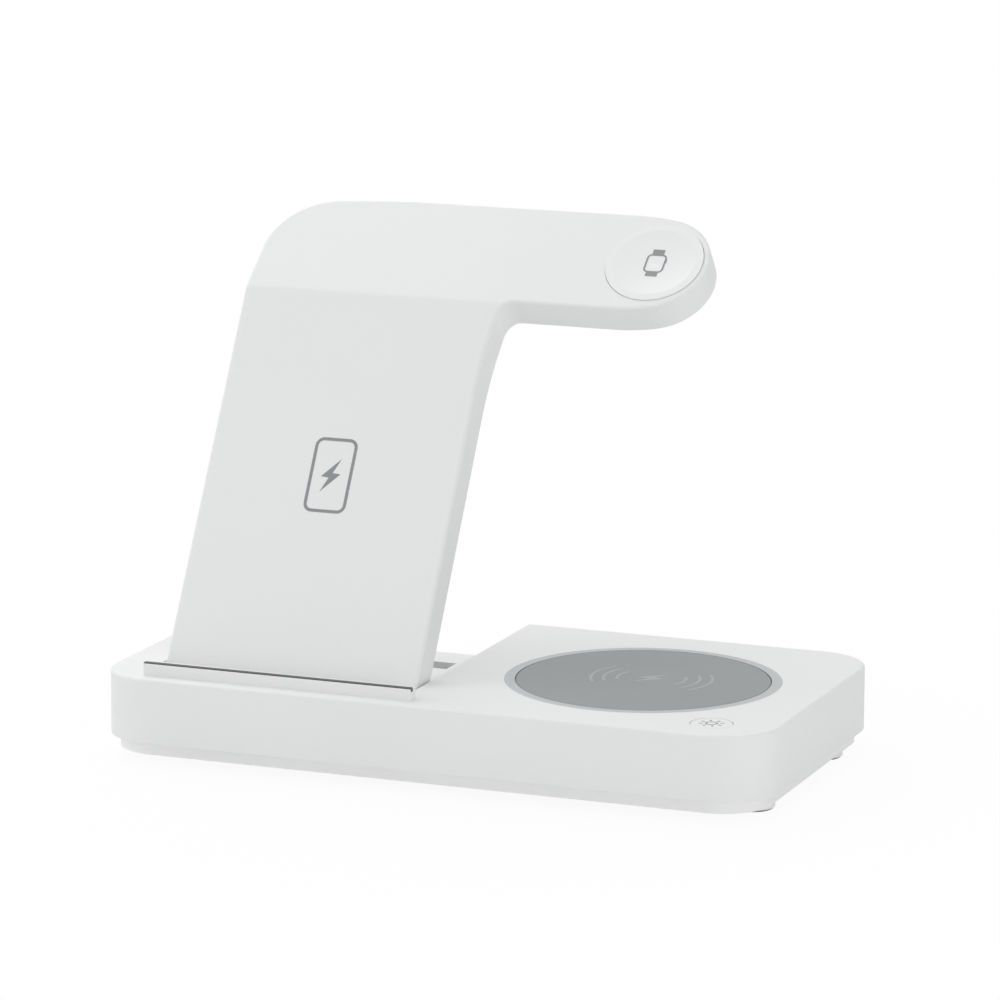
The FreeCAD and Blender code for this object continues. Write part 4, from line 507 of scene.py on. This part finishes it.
floor_mesh = bmesh.new()
bmesh.ops.create_grid(floor_mesh, x_segments=1, y_segments=1, size=FLOOR_HALF,
                      matrix=Matrix.Translation((0.0, 0.0, -FLOOR_DROP)))
floor_data = bpy.data.meshes.new("floor")
floor_mesh.to_mesh(floor_data)
floor_mesh.free()
floor = bpy.data.objects.new("floor", floor_data)
bpy.context.collection.objects.link(floor)
material, wire = new_finish("floor_white")
far = wire.node("ShaderNodeVectorMath", {"operation": "LENGTH"}, {0: own_place(wire)}, "Value")
fade = wire.node("ShaderNodeMapRange", {"interpolation_type": "SMOOTHSTEP"},
                 {"Value": far, "From Min": SHADOW_NEAR, "From Max": SHADOW_FAR, "To Min": NEAR_WHITE,
                  "To Max": 1.0})
matt = wire.node("ShaderNodeBsdfDiffuse", {}, {"Color": opaque(FLOOR_WHITE)})
plain = wire.node("ShaderNodeEmission", {}, {"Color": opaque(WHITE), "Strength": 1.0})
surface = wire.node("ShaderNodeMixShader", {}, {0: shows_backdrop(wire) * fade, 1: matt, 2: plain})
wire.node("ShaderNodeOutputMaterial", {}, {"Surface": surface})
floor_data.materials.append(material)

world = bpy.data.worlds.new("studio")
bpy.context.scene.world = world
world.use_nodes = True
world.node_tree.nodes.clear()
wire = Wire(world.node_tree)
around = wire.node("ShaderNodeBackground", {}, {"Color": opaque(SKY_WHITE), "Strength": SKY_STRENGTH})
backdrop = wire.node("ShaderNodeBackground", {}, {"Color": opaque(WHITE), "Strength": 1.0})
sky = wire.node("ShaderNodeMixShader", {}, {0: shows_backdrop(wire), 1: around, 2: backdrop})
wire.node("ShaderNodeOutputWorld", {}, {"Surface": sky})

for lamp_name, lamp_place, lamp_target, lamp_size, watts in SOFTBOXES:
    lamp_data = bpy.data.lights.new(lamp_name, "AREA")
    lamp_data.size = lamp_size
    lamp_data.energy = watts
    lamp = bpy.data.objects.new(lamp_name, lamp_data)
    bpy.context.collection.objects.link(lamp)
    aim = Vector(lamp_target) - Vector(lamp_place)
    lamp.matrix_world = Matrix.Translation(lamp_place) @ aim.to_track_quat("-Z", "Y").to_matrix().to_4x4()

# Camera: a long lens at the photograph's angle, a little above the deck and from the right of the front.
# Its place is given along its own right, up and back directions, from a point just above the table.
AZIMUTH, ELEVATION, ROLL = math.radians(21.325), math.radians(11.592), math.radians(0.285)
AIM_POINT = Vector((0, 0, 0.0025))
CAMERA_RIGHT, CAMERA_UP, CAMERA_BACK = 0.003115, 0.065679, 1.39288
SENSOR_WIDTH = 36.0
LENS_IN_SENSORS = 5.1154
back = Vector((math.sin(AZIMUTH) * math.cos(ELEVATION), -math.cos(AZIMUTH) * math.cos(ELEVATION),
               math.sin(ELEVATION)))
level = Vector((math.cos(AZIMUTH), math.sin(AZIMUTH), 0.0))
upright = back.cross(level)
right = level * math.cos(ROLL) + upright * math.sin(ROLL)
up = upright * math.cos(ROLL) - level * math.sin(ROLL)
stand = right * CAMERA_RIGHT + up * CAMERA_UP + back * CAMERA_BACK + AIM_POINT
lens = bpy.data.cameras.new("camera")
lens.sensor_width = SENSOR_WIDTH
lens.sensor_fit = "HORIZONTAL"
lens.lens = LENS_IN_SENSORS * SENSOR_WIDTH
camera = bpy.data.objects.new("camera", lens)
bpy.context.collection.objects.link(camera)
camera.matrix_world = Matrix.Translation(stand) @ Matrix((right, up, back)).transposed().to_4x4()
bpy.context.scene.camera = camera

bpy.context.scene.view_settings.view_transform = "Standard"
